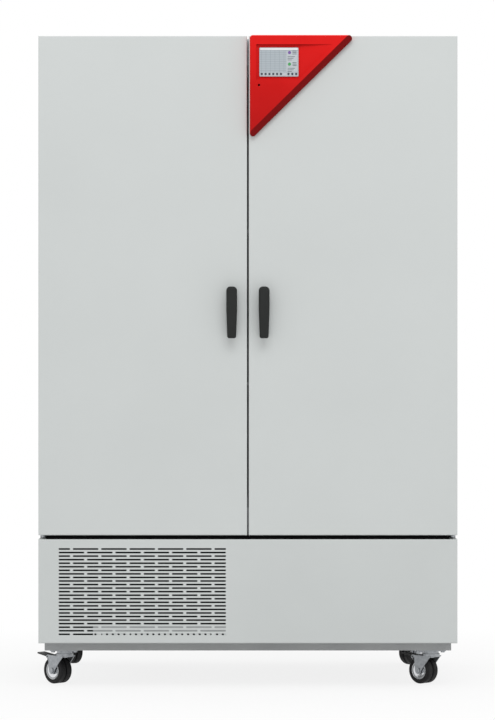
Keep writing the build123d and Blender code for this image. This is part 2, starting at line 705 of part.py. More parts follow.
def cabinet_insulation():
    """Rigid foam round the test space, open at the front."""
    gap = FIT_GAP
    room = LINER_SHEET + gap
    foam = block(-HALF_INNER + gap, HALF_INNER - gap, FRAME_BACK_Y + gap, REAR_INNER_Y - gap,
                 BODY_Z, TOP_Z - SHEET - gap)
    foam -= block(-HALF_CHAMBER - room, HALF_CHAMBER + room, FRAME_Y, LINER_BACK_Y + room,
                  CHAMBER_Z - room, CHAMBER_TOP_Z + room)
    foam -= block(-HALF_REBATE - room, HALF_REBATE + room, FRAME_Y, REBATE_Y + room,
                  REBATE_Z - room, REBATE_TOP_Z + room)
    for cutter in hook_windows(FRAME_Y, FRAME_Y + HOOK_BEHIND + HOOK_ROOM, HOOK_ROOM):
        foam -= [cutter, mirrored(cutter)]
    pin = post(GLASS_PIVOT_X, GLASS_PIVOT_Y, REBATE_Z - GLASS_PIN_REACH, REBATE_TOP_Z + GLASS_PIN_REACH,
               GLASS_PIN_RADIUS + 2 * FIT_GAP)
    foam -= [pin, mirrored(pin)]
    foam -= port_cutter(HALF_CHAMBER, HALF_WIDTH)
    foam -= [riser_hole(x, PIPE_RADIUS) for x in RISERS]
    return foam - riser_hole(HUMIDIFIER_X, STEAM_PIPE_RADIUS)


def air_baffle():
    """Sheet in front of the air duct, with a guard before each fan and intake slots low down."""
    half = HALF_CHAMBER - FIT_GAP
    face = rectangle(-half, half, CHAMBER_Z + FIT_GAP, CHAMBER_TOP_Z - FIT_GAP)
    opening = FAN_RADIUS + GUARD_GAP
    for x in (-FAN_X, FAN_X):
        place = Pos(x, FAN_Z)
        face -= place * Circle(opening)
        for ring in range(GUARD_RINGS):
            radius = opening * (ring + 1) / (GUARD_RINGS + 1)
            face += place * (Circle(radius) - Circle(radius - GUARD_BAR))
        face += place * (Rectangle(2 * opening, GUARD_BAR) + Rectangle(GUARD_BAR, 2 * opening))
    pitch = SLOT_LENGTH + SLOT_WEB
    columns = int(2 * (half - SLOT_LENGTH) / pitch)
    slots = []
    for row in range(INTAKE_ROWS):
        z = CHAMBER_Z + INTAKE_RISE + row * REAR_SLOT_PITCH
        for column in range(columns):
            x = (column - (columns - 1) / 2) * pitch
            slots.append(Pos(x, z) * SlotOverall(SLOT_LENGTH, SLOT_HEIGHT))
    return upright_plate(face - slots, BAFFLE_Y, BAFFLE_Y + SHEET)


# Air duct

def fan(radius, depth_y, x, z, shaft_end):
    """An axial fan wheel with its shaft, blowing along Y."""
    wheel = bar_y(0, 0, FAN_DEPTH, 0, FAN_HUB_RADIUS)
    wheel = fillet(wheel.faces().sort_by(Axis.Y)[0].edges(), FAN_HUB_ROUND)
    length = radius - FAN_HUB_RADIUS + SHEET
    blade = Rot(0, 0, BLADE_PITCH) * Box(BLADE_CHORD, BLADE_THICKNESS, length)
    blade = Pos(0, FAN_DEPTH / 2, FAN_HUB_RADIUS - SHEET + length / 2) * blade
    for i in range(FAN_BLADES):
        wheel += Rot(0, 360 * i / FAN_BLADES, 0) * blade
    wheel += bar_y(0, FAN_DEPTH, shaft_end - depth_y, 0, FAN_SHAFT_RADIUS)
    return Pos(x, depth_y, z) * wheel


def fan_rotor(side):
    """Circulation fan wheel in the duct."""
    shaft_end = FAN_Y + FAN_DEPTH + MOTOR_GAP + MOTOR_BORE_DEPTH - RUNNING_GAP
    return fan(FAN_RADIUS, FAN_Y, side * FAN_X, FAN_Z, shaft_end)


def fan_motors():
    """The two circulation motors, standing on the duct's back wall."""
    front = FAN_Y + FAN_DEPTH + MOTOR_GAP
    motors = []
    for x in (-FAN_X, FAN_X):
        motor = bar_y(x, front, LINER_BACK_Y, FAN_Z, MOTOR_RADIUS)
        motor = fillet(motor.faces().sort_by(Axis.Y)[0].edges(), EDGE_RADIUS)
        bore = bar_y(x, front, front + MOTOR_BORE_DEPTH, FAN_Z, FAN_SHAFT_RADIUS + RUNNING_GAP)
        motors.append(motor - bore)
    return group(*motors)


def heating_coils():
    """A heating tube in turns round each fan, held off the duct's back wall by flat strips."""
    front = BAFFLE_Y + SHEET + HEATER_FRONT_GAP
    half = HEATER_STRIP_WIDTH / 2
    end = front - HEATER_TUBE_RADIUS - HEATER_STRIP_END
    strip = block(HEATER_RADIUS - half, HEATER_RADIUS + half, end, LINER_BACK_Y,
                  -HEATER_STRIP / 2, HEATER_STRIP / 2)
    coil = Rot(0, HEATER_STRIP_ANGLE, 0) * strip
    for i in range(1, HEATER_STRIPS):
        coil += Rot(0, HEATER_STRIP_ANGLE + 360 * i / HEATER_STRIPS, 0) * strip
    for turn in range(HEATER_TURNS):
        ring = Rot(90, 0, 0) * Torus(HEATER_RADIUS, HEATER_TUBE_RADIUS)
        coil += Pos(0, front + turn * HEATER_PITCH, 0) * ring
    return group(Pos(-FAN_X, 0, FAN_Z) * coil, Pos(FAN_X, 0, FAN_Z) * coil)


def finned_coil(x0, x1, y0, y1, z0, z1):
    """A coil block with upright fins cut into its front and a plate on each end."""
    face = y0 + FIN_SETBACK
    coil = block(x0 + END_PLATE, x1 - END_PLATE, face, y1 - FIN_SETBACK, z0, z1)
    count = int((x1 - x0 - 2 * END_PLATE) / FIN_PITCH)
    start = (x0 + x1) / 2 - (count - 1) * FIN_PITCH / 2
    gap = FIN_PITCH - FIN_THICKNESS
    coil -= [block(start + i * FIN_PITCH - gap / 2, start + i * FIN_PITCH + gap / 2, y0, face + FIN_DEPTH,
                   z0 - CUT_PAST, z1 + CUT_PAST) for i in range(count)]
    for x in (x0, x1 - END_PLATE):
        coil += block(x, x + END_PLATE, y0, y1, z0, z1)
    return coil


def evaporator():
    """Cooling coil in the duct; its end plates reach back to the duct's wall."""
    half = EVAPORATOR_HALF
    top = EVAPORATOR_Z + EVAPORATOR_HEIGHT
    front = EVAPORATOR_BACK_Y - EVAPORATOR_DEPTH
    coil = finned_coil(-half, half, front, EVAPORATOR_BACK_Y, EVAPORATOR_Z, top)
    for x in (-half, half - END_PLATE):
        coil += block(x, x + END_PLATE, EVAPORATOR_BACK_Y, LINER_BACK_Y, EVAPORATOR_Z, top)
    return coil


# Racks

def rack_rails():
    """Four slotted uprights and the two pairs of runners that hang on them."""
    low, high = CHAMBER_Z + UPRIGHT_END_GAP, CHAMBER_TOP_Z - UPRIGHT_END_GAP
    count = 1 + int((high - low - 2 * UPRIGHT_SLOT_MARGIN) / UPRIGHT_SLOT_PITCH)
    pieces = []
    for y in (SHELF_FRONT_Y + UPRIGHT_FRONT_INSET, SHELF_BACK_Y - UPRIGHT_BACK_INSET):
        rail = block(RUNNER_X, HALF_CHAMBER, y, y + UPRIGHT_WIDTH, low, high)
        rail -= block(RUNNER_X + UPRIGHT_WALL, HALF_CHAMBER, y + UPRIGHT_WALL,
                      y + UPRIGHT_WIDTH - UPRIGHT_WALL, low - CUT_PAST, high + CUT_PAST)
        middle = y + UPRIGHT_WIDTH / 2
        start = (low + high) / 2 - UPRIGHT_SLOT_PITCH * (count - 1) / 2
        rail -= [block(RUNNER_X - CUT_PAST, RUNNER_X + UPRIGHT_WALL + CUT_PAST,
                       middle - UPRIGHT_SLOT_WIDTH / 2, middle + UPRIGHT_SLOT_WIDTH / 2,
                       start + i * UPRIGHT_SLOT_PITCH,
                       start + i * UPRIGHT_SLOT_PITCH + UPRIGHT_SLOT_HEIGHT)
                 for i in range(count)]
        pieces += [rail, mirrored(rail)]
    for rise in (LOWER_SHELF_RISE, UPPER_SHELF_RISE):
        z = CHAMBER_Z + rise
        runner = block(RUNNER_X - RUNNER_WALL, RUNNER_X, SHELF_FRONT_Y, SHELF_BACK_Y, z, z + RUNNER_HEIGHT)
        runner += block(RUNNER_X - RUNNER_LEDGE, RUNNER_X, SHELF_FRONT_Y, SHELF_BACK_Y, z - RUNNER_WALL, z)
        pieces += [runner, mirrored(runner)]
    return group(*pieces)


def shelf(rise):
    """Wire shelf on its runners: a frame of square bar with wires from front to back."""
    half = RUNNER_X - RUNNER_WALL - SHELF_SIDE_GAP
    z = CHAMBER_Z + rise + FIT_GAP
    grid = block(-half, half, SHELF_FRONT_Y, SHELF_BACK_Y, z, z + SHELF_FRAME)
    grid -= block(-half + SHELF_FRAME, half - SHELF_FRAME, SHELF_FRONT_Y + SHELF_FRAME,
                  SHELF_BACK_Y - SHELF_FRAME, z - CUT_PAST, z + SHELF_FRAME + CUT_PAST)
    middle = (SHELF_FRONT_Y + SHELF_BACK_Y) / 2
    grid += block(-half + SHELF_FRAME, half - SHELF_FRAME, middle - SHELF_FRAME / 2,
                  middle + SHELF_FRAME / 2, z, z + SHELF_FRAME - SHELF_WIRE)
    pitch = 2 * half / (SHELF_WIRE_COUNT + 1)
    wires = [block(-half + pitch * (i + 1) - SHELF_WIRE / 2, -half + pitch * (i + 1) + SHELF_WIRE / 2,
                   SHELF_FRONT_Y + SHELF_FRAME / 2, SHELF_BACK_Y - SHELF_FRAME / 2,
                   z + SHELF_FRAME - SHELF_WIRE, z + SHELF_FRAME) for i in range(SHELF_WIRE_COUNT)]
    return grid + wires


# Doors

def door_notch(extra=0.0):
    """Space in the door's top corner for the upper hinge arm."""
    return block(HINGE_X - NOTCH_SIDE - extra, HALF_WIDTH + CUT_PAST, HINGE_Y - NOTCH_FRONT - extra,
                 DOOR_BACK_Y + CUT_PAST, NOTCH_Z - extra, TOP_Z + CUT_PAST)


def hinge_bores(radius):
    """Cutters for the two hinge pins in the door."""
    low = post(HINGE_X, HINGE_Y, DOOR_Z - CUT_PAST, DOOR_Z + HINGE_PIN_REACH + HINGE_CLEARANCE, radius)
    high = post(HINGE_X, HINGE_Y, NOTCH_Z - HINGE_PIN_REACH - HINGE_CLEARANCE, NOTCH_Z + CUT_PAST, radius)
    return [low, high]


def tail_slot(y0, y1):
    """Cutter for the swing of the lever's tail."""
    half = TAIL_WIDTH / 2 + TAIL_ROOM
    return block(HANDLE_X - half, HANDLE_X + half, y0, y1, PIVOT_Z - ROD_TRAVEL - TAIL_ROOM,
                 PIVOT_Z + TAIL_HEIGHT / 2 + TAIL_ROOM)


def door_skin(side):
    """Outer sheet of the door, folded back on all four sides, with the hinge corner cut out."""
    skin = block(DOOR_X, HALF_WIDTH, DOOR_FRONT_Y, LINER_FRONT_Y, DOOR_Z, TOP_Z)
    skin = fillet(skin.faces().sort_by(Axis.Y)[0].edges(), EDGE_RADIUS)
    room = block(DOOR_X + SHEET, HALF_INNER, FOAM_FRONT_Y, LINER_FRONT_Y + CUT_PAST, DOOR_Z + SHEET,
                 TOP_Z - SHEET)
    room = fillet(room.faces().sort_by(Axis.Y)[0].edges(), EDGE_RADIUS - SHEET)
    skin = skin - door_notch() - (room - door_notch(SHEET))
    skin -= hinge_bores(HINGE_PIN_RADIUS + RUNNING_GAP)
    return on_side(side, skin - tail_slot(DOOR_FRONT_Y - CUT_PAST, FOAM_FRONT_Y + CUT_PAST))


def rod_ends():
    """Lowest and highest point of the latch rod at rest."""
    return HOOK_LEVELS[0] - ROD_END, HOOK_LEVELS[1] + ROD_END


def door_insulation(side):
    """Foam core of the door, with the channel of the latch rod and its hooks."""
    gap = FIT_GAP
    foam = block(DOOR_X + SHEET + gap, HALF_INNER - gap, FOAM_FRONT_Y + FOAM_SKIN_GAP, LINER_FRONT_Y - gap,
                 DOOR_Z + SHEET + gap, TOP_Z - SHEET - gap)
    foam = fillet(foam.faces().sort_by(Axis.Y)[0].edges(), EDGE_RADIUS)
    foam -= door_notch(SHEET + gap)
    foam -= hinge_bores(HINGE_PIN_RADIUS + HINGE_CLEARANCE)
    low, high = rod_ends()
    half = ROD_WIDTH / 2 + TAIL_ROOM
    foam -= block(HANDLE_X - half, HANDLE_X + half, FOAM_FRONT_Y, TAIL_Y + TAIL_TIP_RADIUS + TAIL_ROOM,
                  low - ROD_TRAVEL - HOOK_ROOM, high + HOOK_ROOM)
    foam -= hook_windows(TAIL_Y, DOOR_BACK_Y)
    return on_side(side, foam)


def seal_loop(inset):
    """The seal's outline on the door's back, moved inward by an inset."""
    left = SEAL_MEETING_GAP / 2 + inset
    right = HALF_WIDTH - SEAL_SIDE_INSET - inset
    low = DOOR_Z + SEAL_END_INSET + inset
    high = TOP_Z - SEAL_END_INSET - inset
    place = Pos((left + right) / 2, (low + high) / 2)
    return place * RectangleRounded(right - left, high - low, SEAL_RADIUS - inset * SEAL_ROUNDING_LOSS)


def door_liner(side):
    """Stainless back of the door with a raised pan inside the seal."""
    plate = rectangle(DOOR_X, HALF_WIDTH, DOOR_Z, TOP_Z)
    pan = seal_loop(SEAL_WIDTH + PAN_MARGIN)
    hollow = seal_loop(SEAL_WIDTH + PAN_MARGIN + LINER_SHEET)
    liner = upright_plate(plate - hollow, LINER_FRONT_Y, DOOR_BACK_Y)
    top = DOOR_BACK_Y + PAN_HEIGHT
    liner += upright_plate(pan - hollow, DOOR_BACK_Y, top - LINER_SHEET)
    liner += upright_plate(pan, top - LINER_SHEET, top)
    liner -= hook_windows(LINER_FRONT_Y - CUT_PAST, DOOR_BACK_Y + CUT_PAST)
    return on_side(side, liner - door_notch())


def door_gasket(side):
    """Soft hollow-section seal round the door's back, a hair clear of the frame."""
    loop = seal_loop(0) - seal_loop(SEAL_WIDTH)
    seal = upright_plate(loop, DOOR_BACK_Y, FRAME_Y - FIT_GAP)
    seal = chamfer(seal.faces().sort_by(Axis.Y)[-1].outer_wire().edges(), EDGE_RADIUS)
    return on_side(side, seal)


def bevel_cutter(start, end, width, depth):
    """Bar that takes a slanted strip off a front edge, for a form on the left of start to end."""
    length = math.hypot(end[0] - start[0], end[1] - start[1])
    along = ((end[0] - start[0]) / length, (end[1] - start[1]) / length)
    middle = ((start[0] + end[0]) / 2, start[2], (start[1] + end[1]) / 2)
    plane = Plane(origin=middle, x_dir=(along[1], 0, -along[0]), z_dir=(along[0], 0, along[1]))
    past = CUT_PAST
    profile = outline((-width, 0), (0, depth), (past, depth), (past, -past), (-width, -past))
    return extrude(plane * profile, length / 2 + CONTROLLER_BEVEL, both=True)


def controller_form(inset):
    """Triangular housing with rounded corners and bevelled front edges, or its hollow."""
    left, top = CONTROLLER_X + inset, TOP_Z - inset
    front = DOOR_FRONT_Y - CONTROLLER_DEPTH + inset
    slant = math.hypot(CONTROLLER_LEG_X, CONTROLLER_LEG_Z)
    shrink = 1 - 2 * inset / (CONTROLLER_LEG_X + CONTROLLER_LEG_Z - slant)
    right, low = left + CONTROLLER_LEG_X * shrink, top - CONTROLLER_LEG_Z * shrink
    face = outline((left, top), (right, top), (left, low))
    face = fillet(face.vertices(), CONTROLLER_RADIUS - inset)
    form = upright_plate(face, front, DOOR_FRONT_Y)
    form -= bevel_cutter((left, low, front), (right, top, front), CONTROLLER_BEVEL, CONTROLLER_BEVEL_DEPTH)
    form -= bevel_cutter((right, top, front), (left, top, front), CONTROLLER_LIP / 2, CONTROLLER_LIP / 2)
    return form - bevel_cutter((left, top, front), (left, low, front), CONTROLLER_LIP, CONTROLLER_LIP)


def display_place():
    """The display's left edge, right edge, lower edge and upper edge."""
    left = CONTROLLER_X + DISPLAY_LEFT
    top = TOP_Z - DISPLAY_DROP
    return left, left + DISPLAY_WIDTH, top - DISPLAY_HEIGHT, top


def display_recess(extra=0.0):
    """Hollow round the display, running out to nothing towards the right."""
    left, right, low, top = display_place()
    left -= RECESS_MARGIN + extra
    low -= RECESS_MARGIN + extra
    top += RECESS_MARGIN + extra
    tip = right + RECESS_TIP + 2 * extra
    depth = RECESS_DEPTH + extra
    front = DOOR_FRONT_Y - CONTROLLER_DEPTH
    column = upright_plate(outline((left, top), (tip, top), (right + extra, low), (left, low)),
                           front - CUT_PAST, front + depth)
    floor = outline((left, front - CUT_PAST), (left, front + depth), (right + extra, front + depth),
                    (tip, front + extra), (tip, front - CUT_PAST))
    return column & (Pos(0, 0, low) * extrude(floor, top - low))


def controller_housing():
    """Triangular controller cover, with the hollow for the display and a small round port."""
    housing = controller_form(0)
    housing -= controller_form(CONTROLLER_WALL) - display_recess(CONTROLLER_WALL)
    housing -= display_recess()
    x, z = CONTROLLER_X + SERVICE_PORT_LEFT, TOP_Z - SERVICE_PORT_DROP
    front = DOOR_FRONT_Y - CONTROLLER_DEPTH
    return housing - bar_y(x, front - CUT_PAST, front + CONTROLLER_WALL + CUT_PAST, z, SERVICE_PORT_RADIUS)


def display():
    """Touch display, lying on the floor of its recess."""
    left, right, low, top = display_place()
    back = DOOR_FRONT_Y - CONTROLLER_DEPTH + RECESS_DEPTH
    panel = block(left, right, back - DISPLAY_THICKNESS, back, low, top)
    return fillet(panel.edges().filter_by(Axis.Y), EDGE_RADIUS)


# Handles and latches

def handle_base(side):
    """Plate on the door with two ears and the lever's pin."""
    half = HANDLE_FOOT_WIDTH / 2
    plate = block(HANDLE_X - half, HANDLE_X + half, DOOR_FRONT_Y - HANDLE_PLATE, DOOR_FRONT_Y,
                  HANDLE_Z + HANDLE_PLATE_INSET, HANDLE_TOP_Z - HANDLE_PLATE_INSET / 2)
    plate = fillet(plate.edges().filter_by(Axis.Y), HANDLE_PLATE)
    ear = outline((DOOR_FRONT_Y, PIVOT_Z - EAR_RADIUS), (PIVOT_Y, PIVOT_Z - EAR_RADIUS),
                  (PIVOT_Y, PIVOT_Z + EAR_RADIUS), (DOOR_FRONT_Y, PIVOT_Z + EAR_RADIUS))
    ear += Pos(PIVOT_Y, PIVOT_Z) * Circle(EAR_RADIUS)
    inner = TONGUE_WIDTH / 2 + FIT_GAP
    outer = inner + EAR_THICKNESS
    plate += side_plate(ear, HANDLE_X - outer, HANDLE_X - inner)
    plate += side_plate(ear, HANDLE_X + inner, HANDLE_X + outer)
    plate -= tail_slot(DOOR_FRONT_Y - HANDLE_PLATE - CUT_PAST, DOOR_FRONT_Y + CUT_PAST)
    plate += bar_x(HANDLE_X - outer, HANDLE_X + outer, PIVOT_Y, PIVOT_Z, PIVOT_PIN_RADIUS)
    return on_side(side, plate)


def handle_lever(side):
    """Lever with a rounded top and a tapered lower half, its tongue, hub and tail."""
    top, foot = HANDLE_TOP_WIDTH / 2, HANDLE_FOOT_WIDTH / 2
    shoulder = HANDLE_TOP_Z - top
    bend = HANDLE_Z + HANDLE_TAPER_LENGTH
    corner = HANDLE_Z + HANDLE_FOOT_CUT
    x = HANDLE_X
    edges = Polyline((x - top, shoulder), (x - top, bend), (x - foot, corner),
                     (x - foot + HANDLE_FOOT_CUT, HANDLE_Z), (x + foot - HANDLE_FOOT_CUT, HANDLE_Z),
                     (x + foot, corner), (x + top, bend), (x + top, shoulder))
    crown = ThreePointArc((x + top, shoulder), (x, HANDLE_TOP_Z), (x - top, shoulder))
    lever = upright_plate(make_face([edges, crown]), FRONT_Y, HANDLE_BACK_Y)
    lever = chamfer(lever.faces().sort_by(Axis.Y)[0].edges(), HANDLE_CHAMFER)
    reach = TAIL_REACH - TAIL_TIP_RADIUS
    tongue = outline((HANDLE_BACK_Y, PIVOT_Z - reach), (PIVOT_Y, PIVOT_Z - EAR_RADIUS),
                     (PIVOT_Y, PIVOT_Z + EAR_RADIUS), (HANDLE_BACK_Y, PIVOT_Z + EAR_RADIUS))
    tongue += Pos(PIVOT_Y, PIVOT_Z) * Circle(EAR_RADIUS)
    lever += side_plate(tongue, x - TONGUE_WIDTH / 2, x + TONGUE_WIDTH / 2)
    half = TAIL_WIDTH / 2
    lever += block(x - half, x + half, PIVOT_Y, TAIL_Y, PIVOT_Z - TAIL_HEIGHT / 2, PIVOT_Z + TAIL_HEIGHT / 2)
    lever += bar_x(x - half, x + half, TAIL_Y, PIVOT_Z, TAIL_TIP_RADIUS)
    lever -= bar_x(x - TONGUE_WIDTH, x + TONGUE_WIDTH, PIVOT_Y, PIVOT_Z, PIVOT_PIN_RADIUS + RUNNING_GAP)
    return on_side(side, lever)


def latch_rod(side):
    """Flat rod behind the skin, in lengths welded round the tail's window, with a hook at each end."""
    low, high = rod_ends()
    left, right = HANDLE_X - ROD_WIDTH / 2, HANDLE_X + ROD_WIDTH / 2
    front = TAIL_Y - ROD_THICKNESS
    room = TAIL_WIDTH / 2 + ROD_CLEARANCE
    height = TAIL_TIP_RADIUS + ROD_CLEARANCE
    pieces = [block(left, right, front, TAIL_Y, low, PIVOT_Z - height),
              block(left, right, front, TAIL_Y, PIVOT_Z + height, high),
              block(left, HANDLE_X - room, front, TAIL_Y, PIVOT_Z - height, PIVOT_Z + height),
              block(HANDLE_X + room, right, front, TAIL_Y, PIVOT_Z - height, PIVOT_Z + height)]
    back = FRAME_Y + HOOK_BEHIND
    arm = HOOK_SIZE / 2
    for z in HOOK_LEVELS:
        pieces.append(block(HANDLE_X - arm, HANDLE_X + arm, TAIL_Y, back, z - arm, z + arm))
        pieces.append(block(HANDLE_X - arm, HANDLE_X + arm, back - HOOK_TIP_THICKNESS, back,
                            z + arm, z + arm + HOOK_TIP))
    return on_side(side, group(*pieces))


def door_hardware():
    """Hinge arms with their pins, and the strikers of the latches, all fixed to the frame."""
    arm = HINGE_ARM_RADIUS
    hinge = block(HINGE_X - arm, HINGE_X + arm, HINGE_Y, FRAME_Y, 0, HINGE_PLATE)
    hinge += post(HINGE_X, HINGE_Y, 0, HINGE_PLATE, arm)
    pin_end = HINGE_PLATE + HINGE_CLEARANCE + HINGE_PIN_REACH
    hinge += post(HINGE_X, HINGE_Y, HINGE_PLATE, pin_end, HINGE_PIN_RADIUS)
    hinge += block(HINGE_X - arm, HINGE_X + arm, FRAME_Y - HINGE_FOOT, FRAME_Y, 0, HINGE_FOOT_HEIGHT)
    lower = Pos(0, 0, DOOR_Z - HINGE_CLEARANCE - HINGE_PLATE) * hinge
    upper = Pos(0, 0, NOTCH_Z + HINGE_CLEARANCE + HINGE_PLATE) * mirror(hinge, about=Plane.XY)
    half = HOOK_SIZE / 2 + HOOK_ROOM + STRIKER_SIDE_MARGIN
    pieces = [lower, upper]
    for level in HOOK_LEVELS:
        high = hook_slot(level)[1]
        bar = block(HANDLE_X - half, HANDLE_X + half, FRAME_Y - STRIKER_THICKNESS, FRAME_Y,
                    high, high + STRIKER_HEIGHT)
        pieces.append(fillet(bar.edges().filter_by(Axis.Y), HINGE_FOOT))
    return group(*pieces, *[mirrored(piece) for piece in pieces])


# Inner glass doors

def glass_door(side):
    """Toughened pane inside the outer door."""
    pane = block(GLASS_GAP / 2, GLASS_EDGE_X, GLASS_FRONT_Y, GLASS_BACK_Y, GLASS_Z, GLASS_TOP_Z)
    return on_side(side, fillet(pane.edges().filter_by(Axis.Y), EDGE_RADIUS))


def glass_fittings(side):
    """Hinge plates with their pins, bonded to the pane's front, and a low round knob."""
    left = GLASS_EDGE_X - GLASS_PLATE_WIDTH
    hub = GLASS_PIN_RADIUS + GLASS_PLATE / 2
    top = GLASS_Z + GLASS_PLATE_HEIGHT
    pin_end = REBATE_Z - GLASS_PIN_REACH + FIT_GAP
    plate = block(left, GLASS_EDGE_X, GLASS_PIVOT_Y, GLASS_FRONT_Y, GLASS_Z, top)
    room = block(left, HALF_REBATE, GLASS_PIVOT_Y - 2 * hub, GLASS_FRONT_Y, GLASS_Z, top)
    plate += post(GLASS_PIVOT_X, GLASS_PIVOT_Y, GLASS_Z, top, hub) & room
    plate += post(GLASS_PIVOT_X, GLASS_PIVOT_Y, pin_end, GLASS_Z, GLASS_PIN_RADIUS)
    middle = (GLASS_Z + GLASS_TOP_Z) / 2
    upper = Pos(0, 0, 2 * middle) * mirror(plate, about=Plane.XY)
    knob = bar_y(GLASS_GAP / 2 + KNOB_INSET, GLASS_FRONT_Y - KNOB_HEIGHT, GLASS_FRONT_Y, middle, KNOB_RADIUS)
    knob = fillet(knob.faces().sort_by(Axis.Y)[0].edges(), EDGE_RADIUS)
    return on_side(side, group(plate, upper, knob))


# Machine compartment

def compressor():
    """Sealed compressor with a domed can on a plate with four feet."""
    x, y = COMPRESSOR_X, COMPRESSOR_Y
    low = FLOOR_Z + COMPRESSOR_FOOT
    can = post(x, y, low, COMPRESSOR_TOP_Z, COMPRESSOR_RADIUS)
    can = fillet(can.faces().sort_by(Axis.Z)[-1].edges(), COMPRESSOR_DOME)
    can = fillet(can.faces().sort_by(Axis.Z)[0].edges(), COMPRESSOR_FOOT)
    base = COMPRESSOR_FOOT_PLACE + COMPRESSOR_FOOT_RADIUS
    can += block(x - base, x + base, y - base, y + base, low, low + FLOOR_PAN)
    for dx in (-COMPRESSOR_FOOT_PLACE, COMPRESSOR_FOOT_PLACE):
        for dy in (-COMPRESSOR_FOOT_PLACE, COMPRESSOR_FOOT_PLACE):
            can += post(x + dx, y + dy, FLOOR_Z, low, COMPRESSOR_FOOT_RADIUS)
    return can


def condenser():
    """Finned coil behind the grille, its fan shroud, and the cooling fan's motor on a bracket."""
    top = FLOOR_Z + CONDENSER_HEIGHT
    coil = finned_coil(CONDENSER_X, CONDENSER_END_X, CONDENSER_Y, CONDENSER_BACK_Y, FLOOR_Z, top)
    wall = SHROUD_WALL
    shroud = block(CONDENSER_X, CONDENSER_END_X, CONDENSER_BACK_Y, SHROUD_BACK_Y, FLOOR_Z, top)
    shroud -= block(CONDENSER_X + wall, CONDENSER_END_X - wall, CONDENSER_BACK_Y - CUT_PAST,
                    SHROUD_BACK_Y - wall, FLOOR_Z + wall, top - wall)
    shroud -= bar_y(COOLING_FAN_X, CONDENSER_BACK_Y, SHROUD_BACK_Y + CUT_PAST, COOLING_FAN_Z,
                    COOLING_FAN_RADIUS + COOLING_FAN_GAP)
    half = MOTOR_BRACKET_WIDTH / 2
    motor = block(COOLING_FAN_X - half, COOLING_FAN_X + half, SHROUD_BACK_Y, SHROUD_BACK_Y + MOTOR_BRACKET,
                  FLOOR_Z, top)
    motor += bar_y(COOLING_FAN_X, SHROUD_BACK_Y + MOTOR_BRACKET, SHROUD_BACK_Y + COOLING_MOTOR_LENGTH,
                   COOLING_FAN_Z, COOLING_MOTOR_RADIUS)
    motor -= bar_y(COOLING_FAN_X, SHROUD_BACK_Y - CUT_PAST, cooling_shaft_end() + RUNNING_GAP, COOLING_FAN_Z,
                   FAN_SHAFT_RADIUS + RUNNING_GAP)
    return group(coil, shroud, motor)


def cooling_shaft_end():
    """How far back the cooling fan's shaft reaches into its motor."""
    return SHROUD_BACK_Y + MOTOR_BRACKET + MOTOR_BORE_DEPTH


def cooling_fan():
    """Fan wheel in the condenser's shroud."""
    front = SHROUD_BACK_Y - SHROUD_WALL - MOTOR_GAP - FAN_DEPTH
    return fan(COOLING_FAN_RADIUS, front, COOLING_FAN_X, COOLING_FAN_Z, cooling_shaft_end())


def pipe(*points):
    """A refrigerant pipe through its corner points, with equal bends."""
    path = FilletPolyline(*points, radius=PIPE_BEND)
    return sweep(Plane(origin=path @ 0, z_dir=path % 0) * Circle(PIPE_RADIUS), path=path)


def refrigerant_pipes():
    """Compressor to condenser, condenser to cooling coil, and cooling coil back to compressor."""
    coil_y = (CONDENSER_Y + CONDENSER_BACK_Y) / 2
    high = COMPRESSOR_TOP_Z + PIPE_RISE
    low = FLOOR_Z + LIQUID_PIPE_RISE
    hot_x, cold_x = COMPRESSOR_X - STUB_OFFSET, COMPRESSOR_X + STUB_OFFSET
    hot = pipe((hot_x, COMPRESSOR_Y, COMPRESSOR_TOP_Z), (hot_x, COMPRESSOR_Y, high),
               (hot_x, coil_y, high), (CONDENSER_END_X, coil_y, high))
    liquid = pipe((CONDENSER_END_X, coil_y, low), (LIQUID_PIPE_X, coil_y, low), (LIQUID_PIPE_X, DUCT_Y, low),
                  (RISERS[0], DUCT_Y, low), (RISERS[0], DUCT_Y, EVAPORATOR_Z))
    level = COMPRESSOR_TOP_Z + PIPE_BEND + PIPE_RADIUS
    cold = pipe((cold_x, COMPRESSOR_Y, COMPRESSOR_TOP_Z), (cold_x, COMPRESSOR_Y, level),
                (cold_x, (COMPRESSOR_Y + DUCT_Y) / 2, level), (RISERS[1], (COMPRESSOR_Y + DUCT_Y) / 2, level),
                (RISERS[1], DUCT_Y, level), (RISERS[1], DUCT_Y, EVAPORATOR_Z))
    return group(hot, liquid, cold)


def water_fittings():
    """Place, neck, collar, outer and bore radius, and length of the inlet and of the drain."""
    return [
        (WATER_INLET_X, WATER_NECK_RADIUS, WATER_COLLAR_RADIUS, WATER_INLET_RADIUS, WATER_BORE_RADIUS,
         WATER_INLET_LENGTH),
        (DRAIN_X, DRAIN_NECK_RADIUS, DRAIN_COLLAR_RADIUS, DRAIN_RADIUS, DRAIN_BORE_RADIUS, REAR_REACH),
    ]


